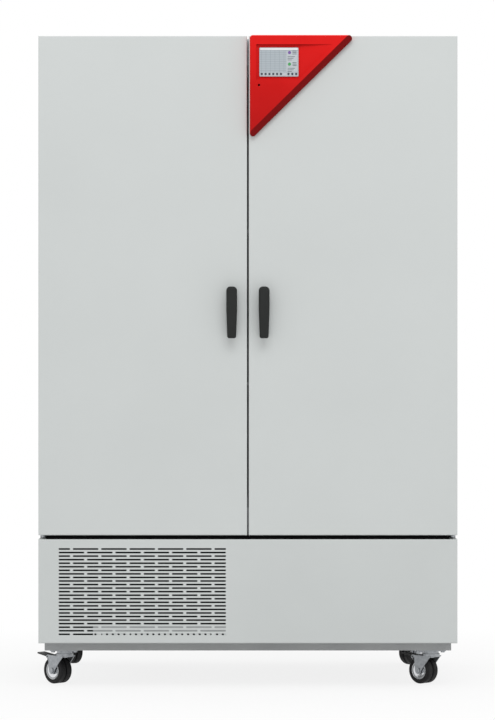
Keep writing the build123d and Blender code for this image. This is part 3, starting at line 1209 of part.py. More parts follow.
def humidifier():
    """Steam boiler with its steam pipe, its water inlet and its drain barb through the back."""
    x = HUMIDIFIER_X
    top = FLOOR_Z + HUMIDIFIER_HEIGHT
    boiler = post(x, DUCT_Y, FLOOR_Z, top, HUMIDIFIER_RADIUS)
    boiler = fillet(boiler.faces().sort_by(Axis.Z)[-1].edges(), COMPRESSOR_FOOT)
    boiler += post(x, DUCT_Y, top, CHAMBER_Z + STEAM_PIPE_RISE, STEAM_PIPE_RADIUS)
    pieces = [boiler]
    for place, neck, collar, radius, bore, length in water_fittings():
        fitting = bar_y(place, DUCT_Y, REAR_Y, WATER_Z, neck)
        fitting += bar_y(place, REAR_Y, REAR_Y + WATER_COLLAR, WATER_Z, collar)
        fitting += bar_y(place, REAR_Y + WATER_COLLAR, REAR_Y + length, WATER_Z, radius)
        fitting -= bar_y(place, REAR_Y, REAR_Y + length + CUT_PAST, WATER_Z, bore)
        pieces.append(fitting - post(x, DUCT_Y, FLOOR_Z, top, HUMIDIFIER_RADIUS))
    return group(*pieces)


def switch_frame_size(extra=0.0):
    """Outer width and height of the main switch's frame."""
    edge = 2 * (SWITCH_FRAME + extra)
    return SWITCH_WIDTH + 2 * FIT_GAP + edge, SWITCH_HEIGHT + 2 * SWITCH_ROOM + edge


def electrical_box():
    """Control box behind the rear panel, with the switch's frame and the mains inlet."""
    back = REAR_INNER_Y - FIT_GAP
    box = block(BOX_X, BOX_X + BOX_WIDTH, back - BOX_DEPTH, back, FLOOR_Z, FLOOR_Z + BOX_HEIGHT)
    box -= block(BOX_X + BOX_WALL, BOX_X + BOX_WIDTH - BOX_WALL, back - BOX_DEPTH + BOX_WALL, back - BOX_WALL,
                 FLOOR_Z + BOX_WALL, FLOOR_Z + BOX_HEIGHT - BOX_WALL)
    rear = REAR_Y + INLET_OUT
    place = Pos(SWITCH_X, POWER_Z)
    box += upright_plate(place * Rectangle(*switch_frame_size()), rear - 2 * SWITCH_DEPTH, rear)
    box -= upright_plate(place * Rectangle(SWITCH_WIDTH + 2 * FIT_GAP, SWITCH_HEIGHT + 2 * SWITCH_ROOM),
                         rear - 2 * SWITCH_DEPTH + BOX_WALL, rear + CUT_PAST)
    box -= switch_pin(SWITCH_PIN_RADIUS + RUNNING_GAP, SWITCH_PIN_END - FIT_GAP)
    inlet = Pos(INLET_X, POWER_Z)
    box += upright_plate(inlet * Rectangle(INLET_WIDTH, INLET_HEIGHT), rear - INLET_DEPTH, rear)
    box -= upright_plate(inlet * RectangleRounded(INLET_WIDTH - 2 * INLET_RIM, INLET_HEIGHT - 2 * INLET_RIM,
                                                  INLET_RIM), rear - INLET_DEPTH + INLET_RIM, rear + CUT_PAST)
    for i in (-1, 0, 1):
        blade = inlet * Pos(i * INLET_PIN_SPACING, 0) * Rectangle(INLET_PIN, 2 * INLET_PIN)
        box += upright_plate(blade, rear - INLET_DEPTH + INLET_RIM, rear - INLET_RIM)
    return box


def switch_pivot_y():
    """Depth of the main switch's pivot, just inside its frame."""
    return REAR_Y + INLET_OUT - SWITCH_DEPTH / 2


def switch_pin(radius, end_gap):
    """The main switch's pin, or the bore for it, ending short of the frame's outer sides."""
    half = switch_frame_size()[0] / 2 - end_gap
    return bar_x(SWITCH_X - half, SWITCH_X + half, switch_pivot_y(), POWER_Z, radius)


def main_switch():
    """Rocker with two slanted faces on a pin, resting with its lower half pressed in."""
    depth = SWITCH_DEPTH / 2
    half = SWITCH_HEIGHT / 2
    form = outline((0, -half), (depth, -half), (depth / 2, 0), (depth, half), (0, half), (-depth, 0))
    rocker = extrude(Plane.YZ * form, SWITCH_WIDTH / 2, both=True)
    rocker = Pos(SWITCH_X, switch_pivot_y(), POWER_Z) * Rot(SWITCH_TILT, 0, 0) * rocker
    return rocker + switch_pin(SWITCH_PIN_RADIUS, SWITCH_PIN_END)


# Access port

def access_port_sleeve():
    """Lined tube through the right-hand wall with an outer flange."""
    sleeve = bar_x(HALF_CHAMBER, HALF_WIDTH, PORT_Y, PORT_Z, PORT_RADIUS + PORT_WALL)
    sleeve += bar_x(HALF_WIDTH, HALF_WIDTH + PORT_FLANGE, PORT_Y, PORT_Z, PORT_FLANGE_RADIUS)
    end = HALF_WIDTH + PORT_FLANGE + CUT_PAST
    return sleeve - bar_x(HALF_CHAMBER - CUT_PAST, end, PORT_Y, PORT_Z, PORT_RADIUS)


def access_port_plug():
    """Soft plug of the access port, with a head to pull it by."""
    seat = HALF_WIDTH + PORT_FLANGE
    head = bar_x(seat + FIT_GAP, seat + FIT_GAP + PLUG_HEAD, PORT_Y, PORT_Z, PLUG_HEAD_RADIUS)
    head = fillet(head.faces().sort_by(Axis.X)[-1].edges(), EDGE_RADIUS)
    return head + bar_x(seat - PLUG_DEPTH, seat + FIT_GAP, PORT_Y, PORT_Z, PORT_RADIUS - FIT_GAP)


# Casters

def caster_top():
    """Fixed half of a caster: bolted plate, bearing housing and kingpin."""
    half = CASTER_PLATE_SIZE / 2
    top = block(-half, half, -half, half, CASTER_PLATE_Z, CASTER_HEIGHT)
    top = fillet(top.edges().filter_by(Axis.Z), BOLT_RADIUS)
    top += post(0, 0, RACE_TOP_Z + FIT_GAP, CASTER_PLATE_Z, HOUSING_RADIUS)
    top += post(0, 0, CROWN_Z - FIT_GAP - FLOOR_PAN, CASTER_PLATE_Z, KINGPIN_RADIUS)
    top += post(0, 0, CROWN_Z - FIT_GAP - FLOOR_PAN, CROWN_Z - FIT_GAP, KINGPIN_HEAD_RADIUS)
    for x in (-BOLT_PLACE, BOLT_PLACE):
        for y in (-BOLT_PLACE, BOLT_PLACE):
            head = extrude(RegularPolygon(BOLT_RADIUS, 6), BOLT_HEAD)
            top += Pos(x, y, CASTER_PLATE_Z - BOLT_HEAD) * head
    return top


def caster_fork(braked):
    """Turning half of a caster, trailing towards +X, with its axle as a second solid."""
    leg = outline((-LEG_TOP_FRONT, CROWN_TOP_Z), (LEG_TOP_BACK, CROWN_TOP_Z),
                  (CASTER_TRAIL + LEG_FOOT_RADIUS, WHEEL_RADIUS),
                  (CASTER_TRAIL - LEG_FOOT_RADIUS, WHEEL_RADIUS))
    leg += Pos(CASTER_TRAIL, WHEEL_RADIUS) * Circle(LEG_FOOT_RADIUS)
    leg -= Pos(CASTER_TRAIL, WHEEL_RADIUS) * Circle(AXLE_RADIUS + RUNNING_GAP)
    fork = upright_plate(leg, LEG_IN, LEG_OUT) + upright_plate(leg, -LEG_OUT, -LEG_IN)
    fork += block(-LEG_TOP_FRONT, LEG_TOP_BACK, -LEG_OUT, LEG_OUT, CROWN_Z, CROWN_TOP_Z)
    fork += post(0, 0, CROWN_Z, RACE_TOP_Z, RACE_RADIUS)
    if braked:
        lug = outline((LEG_TOP_BACK - PEDAL_SHOE, CROWN_Z), (LEG_TOP_BACK - PEDAL_SHOE, CROWN_TOP_Z),
                      (PEDAL_PIN_TRAIL, CROWN_TOP_Z), (PEDAL_PIN_TRAIL, CROWN_Z - PEDAL_HUB_RADIUS))
        lug += Pos(PEDAL_PIN_TRAIL, PEDAL_PIN_Z) * Circle(PEDAL_HUB_RADIUS + PEDAL_LUG_MARGIN)
        lug -= Pos(PEDAL_PIN_TRAIL, PEDAL_PIN_Z) * Circle(PEDAL_PIN_RADIUS + RUNNING_GAP)
        inner = PEDAL_WIDTH / 2 + PEDAL_LUG_GAP
        fork += upright_plate(lug, inner, inner + LEG_THICKNESS)
        fork += upright_plate(lug, -inner - LEG_THICKNESS, -inner)
    fork -= post(0, 0, CROWN_Z - CUT_PAST, RACE_TOP_Z + CUT_PAST, KINGPIN_RADIUS + RUNNING_GAP)
    axle = bar_y(CASTER_TRAIL, -LEG_OUT, LEG_OUT, WHEEL_RADIUS, AXLE_RADIUS)
    axle += bar_y(CASTER_TRAIL, LEG_OUT, LEG_OUT + AXLE_HEAD, WHEEL_RADIUS, AXLE_HEAD_RADIUS)
    axle += bar_y(CASTER_TRAIL, -LEG_OUT - AXLE_HEAD, -LEG_OUT, WHEEL_RADIUS, AXLE_HEAD_RADIUS)
    collar = WHEEL_GAP / 2 - FIT_GAP
    axle += bar_y(CASTER_TRAIL, -collar, collar, WHEEL_RADIUS, AXLE_HEAD_RADIUS)
    return group(fork, axle)


def caster_wheels():
    """Twin wheels with rounded tyres and a sunk hub disc on each outer side."""
    inner = WHEEL_GAP / 2
    outer = inner + WHEEL_WIDTH
    wheel = bar_y(CASTER_TRAIL, inner, outer, WHEEL_RADIUS, WHEEL_RADIUS)
    wheel = fillet(wheel.edges(), TYRE_RADIUS)
    wheel -= bar_y(CASTER_TRAIL, outer - HUB_RECESS, outer, WHEEL_RADIUS, HUB_RADIUS)
    wheel -= bar_y(CASTER_TRAIL, inner - CUT_PAST, outer + CUT_PAST, WHEEL_RADIUS, AXLE_RADIUS + RUNNING_GAP)
    return group(wheel, mirror(wheel, about=Plane.XZ))


def brake_pedal():
    """Brake lever behind a front caster's wheels, with the shoe that presses on the tyres."""
    x, z = PEDAL_PIN_TRAIL, PEDAL_PIN_Z
    hub = PEDAL_HUB_RADIUS
    arm = outline((x, z + hub), (PEDAL_TIP, z + hub + PEDAL_TIP_RISE), (PEDAL_TIP, z + PEDAL_TIP_RISE),
                  (x, z - hub / 2))
    shoe = rectangle(x - hub / 2, x + hub / 2, z - PEDAL_SHOE, z)
    half = PEDAL_WIDTH / 2
    pedal = upright_plate(arm + shoe + Pos(x, z) * Circle(hub), -half, half)
    pin = half + PEDAL_LUG_GAP + LEG_THICKNESS
    return pedal + bar_y(x, -pin, pin, z, PEDAL_PIN_RADIUS)


def caster_places():
    """Each caster's name with its place on the floor and its swivel angle."""
    front, rear = caster_rows()
    return {
        "front_left": (-CASTER_X, front, FRONT_LEFT_ANGLE),
        "front_right": (CASTER_X, front, FRONT_RIGHT_ANGLE),
        "rear_left": (-CASTER_X, rear, REAR_LEFT_ANGLE),
        "rear_right": (CASTER_X, rear, REAR_RIGHT_ANGLE),
    }


# All nodes

def build_nodes():
    """Every node's shape under its name."""
    nodes = {
        "base_frame": base_frame(),
        "top_panel": top_panel(),
        "rear_panel": rear_panel(),
        "panel_screws": panel_screws(),
        "front_panel_lower": front_panel_lower(),
        "cabinet_insulation": cabinet_insulation(),
        "inner_chamber": inner_chamber(),
        "door_hardware": door_hardware(),
        "rack_rails": rack_rails(),
        "air_baffle": air_baffle(),
        "fan_motors": fan_motors(),
        "heating_coils": heating_coils(),
        "evaporator": evaporator(),
        "compressor": compressor(),
        "condenser": condenser(),
        "condenser_fan": cooling_fan(),
        "refrigerant_pipes": refrigerant_pipes(),
        "humidifier": humidifier(),
        "electrical_box": electrical_box(),
        "main_switch": main_switch(),
        "access_port_sleeve": access_port_sleeve(),
        "access_port_plug": access_port_plug(),
        "controller_housing": controller_housing(),
        "display": display(),
        "shelf_lower": shelf(LOWER_SHELF_RISE),
        "shelf_upper": shelf(UPPER_SHELF_RISE),
    }
    for name, side in (("left", -1), ("right", 1)):
        nodes["side_panel_" + name] = side_panel(side)
        nodes["fan_rotor_" + name] = fan_rotor(side)
        nodes["door_skin_" + name] = door_skin(side)
        nodes["door_insulation_" + name] = door_insulation(side)
        nodes["door_liner_" + name] = door_liner(side)
        nodes["door_gasket_" + name] = door_gasket(side)
        nodes["handle_base_" + name] = handle_base(side)
        nodes["handle_lever_" + name] = handle_lever(side)
        nodes["latch_rod_" + name] = latch_rod(side)
        nodes["glass_door_" + name] = glass_door(side)
        nodes["glass_fittings_" + name] = glass_fittings(side)
    tops = []
    for name, (x, y, angle) in caster_places().items():
        place = Pos(x, y, 0) * Rot(0, 0, angle)
        tops.append(Pos(x, y, 0) * caster_top())
        nodes["caster_fork_" + name] = place * caster_fork(name.startswith("front"))
        nodes["caster_wheels_" + name] = place * caster_wheels()
        if name.startswith("front"):
            nodes["brake_pedal_" + name] = place * brake_pedal()
    nodes["caster_plates"] = group(*tops)
    return nodes


def main():
    """Build every node and write it to the parts folder."""
    os.makedirs("parts", exist_ok=True)
    for name, shape in build_nodes().items():
        export_step(shape, f"parts/{name}.step")


main()
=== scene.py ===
import json
import logging
import math
from dataclasses import dataclass
from enum import Enum
from typing import Callable

import bmesh
import bpy
from mathutils import Matrix, Vector


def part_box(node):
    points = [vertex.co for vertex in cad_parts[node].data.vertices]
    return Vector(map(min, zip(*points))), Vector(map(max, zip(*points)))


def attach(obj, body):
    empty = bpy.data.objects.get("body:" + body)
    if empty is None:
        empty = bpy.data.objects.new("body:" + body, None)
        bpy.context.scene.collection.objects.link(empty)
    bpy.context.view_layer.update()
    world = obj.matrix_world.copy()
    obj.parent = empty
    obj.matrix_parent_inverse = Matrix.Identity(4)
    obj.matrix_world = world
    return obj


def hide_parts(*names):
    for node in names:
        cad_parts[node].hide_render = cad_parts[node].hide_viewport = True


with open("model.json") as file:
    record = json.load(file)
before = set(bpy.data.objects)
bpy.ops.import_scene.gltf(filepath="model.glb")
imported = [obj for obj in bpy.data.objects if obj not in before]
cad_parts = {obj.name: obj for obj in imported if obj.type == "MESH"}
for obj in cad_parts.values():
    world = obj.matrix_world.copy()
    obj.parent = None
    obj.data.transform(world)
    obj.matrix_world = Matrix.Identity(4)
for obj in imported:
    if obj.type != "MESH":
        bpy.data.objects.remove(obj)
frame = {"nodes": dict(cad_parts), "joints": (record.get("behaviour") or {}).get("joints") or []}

# Looks of an environmental test chamber with two outer doors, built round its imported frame.

LOG = logging.getLogger("test_chamber")
Colour = tuple[float, float, float]
Point = tuple[float, float, float]
Span = tuple[float, float]

# Where most values of a cloudy pattern lie, and how much finer the gloss varies than the colour
CLOUD_SPAN = (0.3, 0.7)
GLOSS_PATCHES = 3

# Radians per metre that a wave pattern of scale 1 turns
WAVE_RATE = 20

# A colour mix's sockets: its two colours and its result
MIX_FIRST = 6
MIX_SECOND = 7
MIX_RESULT = 2

# How close a direction or a place has to be for an edge or face to be chosen
ALONG = 0.99
FACING = 0.9
NEAR = 0.001

# Edges that are rounded, and edges that are shaded as smooth
EDGE_ANGLE = math.radians(35)
SMOOTH_ANGLE = math.radians(32)

CORNERS = ("front_left", "front_right", "rear_left", "rear_right")


# Colours and materials

def paint(red: int, green: int, blue: int) -> Colour:
    """Turns a colour on the usual 0 to 255 scale into linear light.

    Args:
        red: share of red, 0 to 255.
        green: share of green, 0 to 255.
        blue: share of blue, 0 to 255.

    Returns:
        The linear colour.
    """
    def straight(value: float) -> float:
        """One channel in linear light."""
        share = value / 255
        if share <= 0.04045:
            return share / 12.92
        return ((share + 0.055) / 1.055) ** 2.4

    return (straight(red), straight(green), straight(blue))


class Wiring:
    """A material's nodes while they are put together."""

    def __init__(self, name: str) -> None:
        """Starts a material with a bare shader."""
        self.material = bpy.data.materials.new(name)
        self.material.use_nodes = True
        self.tree = self.material.node_tree
        self.shader = self.tree.nodes["Principled BSDF"]
        self.place = self.tree.nodes.new("ShaderNodeTexCoord").outputs["Object"]

    def node(self, kind: str, **inputs: object) -> bpy.types.Node:
        """Adds a node and sets its named inputs.

        Args:
            kind: the node's type.
            inputs: values by input name, with _ for a blank.

        Returns:
            The new node.
        """
        made = self.tree.nodes.new(kind)
        for name, value in inputs.items():
            made.inputs[name.replace("_", " ")].default_value = value
        return made

    def join(self, start: bpy.types.NodeSocket, end: bpy.types.NodeSocket) -> None:
        """Links two sockets."""
        self.tree.links.new(start, end)

    def noise(self, scale: float, stretch: Point = (1, 1, 1), detail: float = 4) -> bpy.types.NodeSocket:
        """A cloudy pattern on the piece's own coordinates.

        Args:
            scale: patches per metre.
            stretch: how much finer the pattern is along each axis.
            detail: octaves of finer pattern.

        Returns:
            The pattern's value socket.
        """
        mapping = self.node("ShaderNodeMapping", Scale=stretch)
        self.join(self.place, mapping.inputs["Vector"])
        made = self.node("ShaderNodeTexNoise", Scale=scale, Detail=detail)
        self.join(mapping.outputs["Vector"], made.inputs["Vector"])
        return made.outputs[0]

    def blend(self, share: bpy.types.NodeSocket, first: Colour, second: Colour) -> bpy.types.NodeSocket:
        """A colour between two, by a varying share.

        Args:
            share: the socket that says how much of the second shows.
            first: colour at 0.
            second: colour at 1.

        Returns:
            The mixed colour's socket.
        """
        mix = self.tree.nodes.new("ShaderNodeMix")
        mix.data_type = "RGBA"
        mix.inputs[MIX_FIRST].default_value = (*first, 1)
        mix.inputs[MIX_SECOND].default_value = (*second, 1)
        self.join(share, mix.inputs[0])
        return mix.outputs[MIX_RESULT]

    def span(self, share: bpy.types.NodeSocket, source: Span, target: Span) -> bpy.types.NodeSocket:
        """Carries a varying value from one range to another.

        Args:
            share: the value's socket.
            source: the range it comes in.
            target: the range it leaves in.

        Returns:
            The new value's socket.
        """
        made = self.node("ShaderNodeMapRange", From_Min=source[0], From_Max=source[1],
                         To_Min=target[0], To_Max=target[1])
        self.join(share, made.inputs["Value"])
        return made.outputs[0]

    def relief(self, height: bpy.types.NodeSocket, depth: float, strength: float) -> None:
        """Raises the surface by a pattern.

        Args:
            height: the pattern's socket.
            depth: the relief's depth in metres.
            strength: how much of it shows, 0 to 1.
        """
        bump = self.node("ShaderNodeBump", Strength=strength, Distance=depth)
        self.join(height, bump.inputs["Height"])
        earlier = self.shader.inputs["Normal"]
        if earlier.is_linked:
            self.join(earlier.links[0].from_socket, bump.inputs["Normal"])
        self.join(bump.outputs["Normal"], earlier)


@dataclass(frozen=True)
class Finish:
    """A surface whose colour, gloss and relief vary a little, as a real one's do."""

    name: str
    colour: Colour
    other: Colour
    patches: float = 6.0
    gloss: Span = (0.4, 0.5)
    grain: float = 500.0
    depth: float = 0.00005
    strength: float = 0.3
    metal: float = 0.0
    stretch: Point = (1, 1, 1)
    shine: float = 0.5

    def make(self) -> bpy.types.Material:
        """Builds the material."""
        wiring = Wiring(self.name)
        cloud = wiring.span(wiring.noise(self.patches), CLOUD_SPAN, (0, 1))
        wiring.join(wiring.blend(cloud, self.colour, self.other), wiring.shader.inputs["Base Color"])
        wiring.shader.inputs["Metallic"].default_value = self.metal
        wiring.shader.inputs["Specular IOR Level"].default_value = self.shine
        smear = wiring.span(wiring.noise(self.patches * GLOSS_PATCHES, self.stretch), CLOUD_SPAN, self.gloss)
        wiring.join(smear, wiring.shader.inputs["Roughness"])
        wiring.relief(wiring.noise(self.grain, self.stretch), self.depth, self.strength)
        self.extra(wiring)
        return wiring.material

    def extra(self, wiring: Wiring) -> None:
        """Adds nothing to a plain finish."""


@dataclass(frozen=True)
class RedCoverWithPaintedLight(Finish):
    """Moulded red plastic with painted shade on its downward slopes and towards its lower tip, and a painted
    highlight on the lip that faces up.
    """

    # Colour of the painted shade on the slopes that face down and at the lower tip
    shade: Colour = paint(124, 2, 4)
    # Colour of the painted highlight on the lip that faces up
    lip: Colour = paint(255, 58, 52)
    tip_z: float = 1.64
    top_z: float = 1.938
    # How much painted shade reaches the lower tip
    tip_shade_share: float = 0.5
    shade_normal_span: Span = (-0.35, -0.1)
    highlight_normal_span: Span = (0.08, 0.3)
    highlight_share: float = 0.8

    def extra(self, wiring: Wiring) -> None:
        """Paints shade on the slopes that face down and towards the lower tip, and paints a highlight on the
        lip that faces up.
        """
        normal = wiring.tree.nodes.new("ShaderNodeTexCoord").outputs["Normal"]
        split = wiring.tree.nodes.new("ShaderNodeSeparateXYZ")
        wiring.join(normal, split.inputs[0])
        # Painted shade on faces that point down
        slope = wiring.span(split.outputs["Z"], self.shade_normal_span, (1, 0))
        place = wiring.tree.nodes.new("ShaderNodeSeparateXYZ")
        wiring.join(wiring.place, place.inputs[0])
        # Painted shade growing towards the lower tip
        low = wiring.span(place.outputs["Z"], (self.tip_z, self.top_z), (self.tip_shade_share, 0))
        most = wiring.tree.nodes.new("ShaderNodeMath")
        most.operation = "MAXIMUM"
        wiring.join(slope, most.inputs[0])
        wiring.join(low, most.inputs[1])
        mix = wiring.tree.nodes.new("ShaderNodeMix")
        mix.data_type = "RGBA"
        wiring.join(wiring.shader.inputs["Base Color"].links[0].from_socket, mix.inputs[MIX_FIRST])
        mix.inputs[MIX_SECOND].default_value = (*self.shade, 1)
        wiring.join(most.outputs[0], mix.inputs[0])
        light = wiring.tree.nodes.new("ShaderNodeMix")
        light.data_type = "RGBA"
        # Painted highlight on faces that point up
        lit = wiring.span(split.outputs["Z"], self.highlight_normal_span, (0, self.highlight_share))
        wiring.join(lit, light.inputs[0])
        wiring.join(mix.outputs[MIX_RESULT], light.inputs[MIX_FIRST])
        light.inputs[MIX_SECOND].default_value = (*self.lip, 1)
        wiring.join(light.outputs[MIX_RESULT], wiring.shader.inputs["Base Color"])


@dataclass(frozen=True)
class CellFinish(Finish):
    """A finish with a cell pattern, such as foam or the crystals of a zinc coat."""

    cells: float = 120.0
    cell_depth: float = 0.0004

    def extra(self, wiring: Wiring) -> None:
        """Adds the cells to colour and relief."""
        cells = wiring.node("ShaderNodeTexVoronoi", Scale=self.cells)
        wiring.join(wiring.place, cells.inputs["Vector"])
        share = wiring.span(cells.outputs["Distance"], (0, 1), (0, 1))
        wiring.join(wiring.blend(share, self.colour, self.other), wiring.shader.inputs["Base Color"])
        wiring.relief(cells.outputs["Distance"], self.cell_depth, self.strength)


@dataclass(frozen=True)
class FinFinish(Finish):
    """Thin aluminium fins close together."""

    pitch: float = 0.0022
    ridge: float = 0.0008
    ridge_strength: float = 0.6

    def extra(self, wiring: Wiring) -> None:
        """Adds the fins as ridges along X."""
        wave = wiring.node("ShaderNodeTexWave", Scale=math.tau / self.pitch / WAVE_RATE)
        wave.bands_direction = "X"
        wiring.join(wiring.place, wave.inputs["Vector"])
        wiring.relief(wave.outputs[1], self.ridge, self.ridge_strength)


@dataclass(frozen=True)
class GlassFinish(Finish):
    """Clear glass with a faint wipe mark here and there."""

    clear: float = 1.0
    bend: float = 1.46

    def extra(self, wiring: Wiring) -> None:
        """Lets light through."""
        wiring.shader.inputs["Transmission Weight"].default_value = self.clear
        wiring.shader.inputs["IOR"].default_value = self.bend


@dataclass(frozen=True)
class ScreenFinish(Finish):
    """A lit display with a faint grid."""

    columns: float = 6.0
    rows: float = 9.0
    width: float = 0.08
    height: float = 0.06
    line: Colour = paint(104, 116, 126)
    line_half: float = 0.0006
    line_share: float = 0.7

    def extra(self, wiring: Wiring) -> None:
        """Draws the grid from two rows of thin bands."""
        split = wiring.tree.nodes.new("ShaderNodeSeparateXYZ")
        wiring.join(wiring.place, split.inputs[0])
        shares = []
        for socket, pitch in (("X", self.width / self.columns), ("Z", self.height / self.rows)):
            wrap = wiring.tree.nodes.new("ShaderNodeMath")
            wrap.operation = "PINGPONG"
            wrap.inputs[1].default_value = pitch / 2
            wiring.join(split.outputs[socket], wrap.inputs[0])
            shares.append(wiring.span(wrap.outputs[0], (0, self.line_half), (self.line_share, 0)))
        most = wiring.tree.nodes.new("ShaderNodeMath")
        most.operation = "MAXIMUM"
        wiring.join(shares[0], most.inputs[0])
        wiring.join(shares[1], most.inputs[1])
        grid = wiring.blend(most.outputs[0], self.colour, self.line)
        wiring.join(grid, wiring.shader.inputs["Base Color"])


def sheet_and_frame_finishes() -> list[Finish]:
    """The finishes of the casing, frame, test space and small metal parts."""
    return [
        Finish("door_panel", paint(206, 210, 209), paint(203, 207, 206), patches=2.5,
               gloss=(0.42, 0.5), grain=900, depth=0.00004, strength=0.25),
        Finish("casing_panel", paint(204, 208, 207), paint(200, 204, 203), patches=3,
               gloss=(0.42, 0.5), grain=900, depth=0.00004, strength=0.25),
        Finish("frame_paint", paint(175, 177, 177), paint(164, 166, 167), patches=8,
               gloss=(0.45, 0.6), grain=700, depth=0.00006, strength=0.3),
        Finish("stainless", paint(196, 198, 200), paint(186, 189, 192), patches=3,
               gloss=(0.28, 0.38), grain=400, depth=0.00002, strength=0.12, metal=1.0,
               stretch=(1.0, 1.0, 14.0)),
        CellFinish("zinc", paint(176, 179, 182), paint(150, 154, 158), patches=12,
                   gloss=(0.34, 0.5), grain=700, depth=0.00004, strength=0.25, metal=0.8),
        Finish("chrome_wire", paint(226, 227, 229), paint(206, 208, 211), patches=20,
               gloss=(0.1, 0.2), grain=900, depth=0.00002, strength=0.2, metal=1.0),
        FinFinish("coil_metal", paint(196, 199, 201), paint(178, 181, 184), patches=10,
                  gloss=(0.3, 0.45), grain=600, depth=0.00004, strength=0.3, metal=1.0),
        Finish("copper", paint(200, 122, 88), paint(160, 92, 66), patches=18,
               gloss=(0.25, 0.45), grain=500, depth=0.00004, strength=0.3, metal=1.0),
        Finish("compressor_paint", paint(30, 31, 33), paint(22, 23, 25), patches=10,
               gloss=(0.3, 0.45), grain=500, depth=0.0001, strength=0.4),
    ]


def plastic_and_rubber_finishes() -> list[Finish]:
    """The finishes of the plastic, rubber, foam and glass parts."""
    return [
        CellFinish("foam", paint(232, 222, 190), paint(208, 194, 156), patches=15,
                   gloss=(0.8, 0.9), grain=300, depth=0.0004, strength=0.5, cells=260),
        Finish("seal_rubber", paint(22, 22, 23), paint(17, 17, 18), patches=20,
               gloss=(0.65, 0.8), grain=800, depth=0.00006, strength=0.35, shine=0.15),
        Finish("plug_rubber", paint(208, 206, 198), paint(196, 193, 184), patches=15,
               gloss=(0.55, 0.7), grain=700, depth=0.00006, strength=0.3),
        Finish("tyre_rubber", paint(26, 26, 27), paint(19, 19, 20), patches=25,
               gloss=(0.55, 0.75), grain=900, depth=0.00008, strength=0.4, shine=0.3),
        Finish("handle_plastic", paint(38, 40, 39), paint(33, 35, 34), patches=18,
               gloss=(0.42, 0.55), grain=1200, depth=0.00005, strength=0.3, shine=0.2),
        Finish("black_plastic", paint(34, 35, 36), paint(27, 28, 29), patches=15,
               gloss=(0.4, 0.55), grain=1000, depth=0.00005, strength=0.3),
        # Red cover with painted shade on its downward slopes and lower tip, and a painted highlight on its
        # lip
        RedCoverWithPaintedLight("red_cover", paint(226, 24, 22), paint(216, 18, 16), patches=8,
                 gloss=(0.5, 0.6), grain=1100, depth=0.00005, strength=0.3, shine=0.12),
        ScreenFinish("screen", paint(172, 181, 187), paint(166, 175, 181), patches=10,
                     gloss=(0.14, 0.22), grain=300, depth=0.00001, strength=0.1),
        GlassFinish("pane", paint(240, 248, 246), paint(236, 246, 244), patches=2,
                    gloss=(0.0, 0.03), grain=6, depth=0.00002, strength=0.05),
        Finish("tank_plastic", paint(226, 227, 222), paint(214, 215, 209), patches=8,
               gloss=(0.4, 0.55), grain=500, depth=0.00006, strength=0.3),
    ]


def ink(name: str, colour: Colour, other: Colour, patches: float) -> Finish:
    """The smooth finish of a mark on the display."""
    return Finish(name, colour, other, patches, gloss=(0.15, 0.25), grain=300, depth=0.00001, strength=0.1)


def added_finishes() -> list[Finish]:
    """The finishes of the pieces that are added to the frame's own."""
    return [
        ink("screen_white", paint(236, 239, 240), paint(228, 232, 234), 30),
        ink("screen_pale", paint(190, 197, 201), paint(184, 191, 196), 30),
        ink("screen_ink", paint(62, 70, 82), paint(50, 58, 70), 60),
        ink("screen_purple", paint(126, 92, 168), paint(110, 80, 150), 60),
        ink("screen_green", paint(72, 168, 92), paint(62, 150, 82), 60),
        Finish("strip_grey", paint(158, 161, 161), paint(150, 153, 153), patches=20,
               gloss=(0.5, 0.6), grain=700, depth=0.00004, strength=0.25),
        Finish("filter_black", paint(9, 9, 10), paint(5, 5, 6), patches=40,
               gloss=(0.85, 0.95), grain=900, depth=0.0002, strength=0.5, shine=0.05),
        Finish("hub_plastic", paint(178, 180, 182), paint(166, 168, 170), patches=30,
               gloss=(0.35, 0.5), grain=700, depth=0.00005, strength=0.3),
    ]


# Modelling by hand

def block(name: str, low: Vector, high: Vector) -> bpy.types.Object:
    """Adds a block between two corners, as a start for a piece.

    Args:
        name: the piece's name.
        low: its lowest corner.
        high: its highest corner.

    Returns:
        The new object, with its place in its mesh.
    """
    bpy.ops.object.select_all(action="DESELECT")
    bpy.ops.mesh.primitive_cube_add(size=1, location=(low + high) / 2, scale=high - low)
    return settle(name)


def disc(name: str, centre: Vector, axis: Vector, radius: float, thick: float,
         sides: int = 40) -> bpy.types.Object:
    """Adds a disc round a level axis, as a start for a piece.

    Args:
        name: the piece's name.
        centre: middle of the disc.
        axis: level direction of its axis.
        radius: its radius.
        thick: its thickness.
        sides: corners round it.

    Returns:
        The new object, with its place in its mesh.
    """
    bpy.ops.object.select_all(action="DESELECT")
    turn = (0, math.pi / 2, math.atan2(axis.y, axis.x))
    bpy.ops.mesh.primitive_cylinder_add(vertices=sides, radius=radius, depth=thick, location=centre,
                                        rotation=turn)
    return settle(name)


def settle(name: str) -> bpy.types.Object:
    """Names the new object and puts its place into its mesh."""
    piece = bpy.context.active_object
    piece.name = name
    piece.data.name = name
    bpy.ops.object.transform_apply(location=True, rotation=True, scale=True)
    return piece


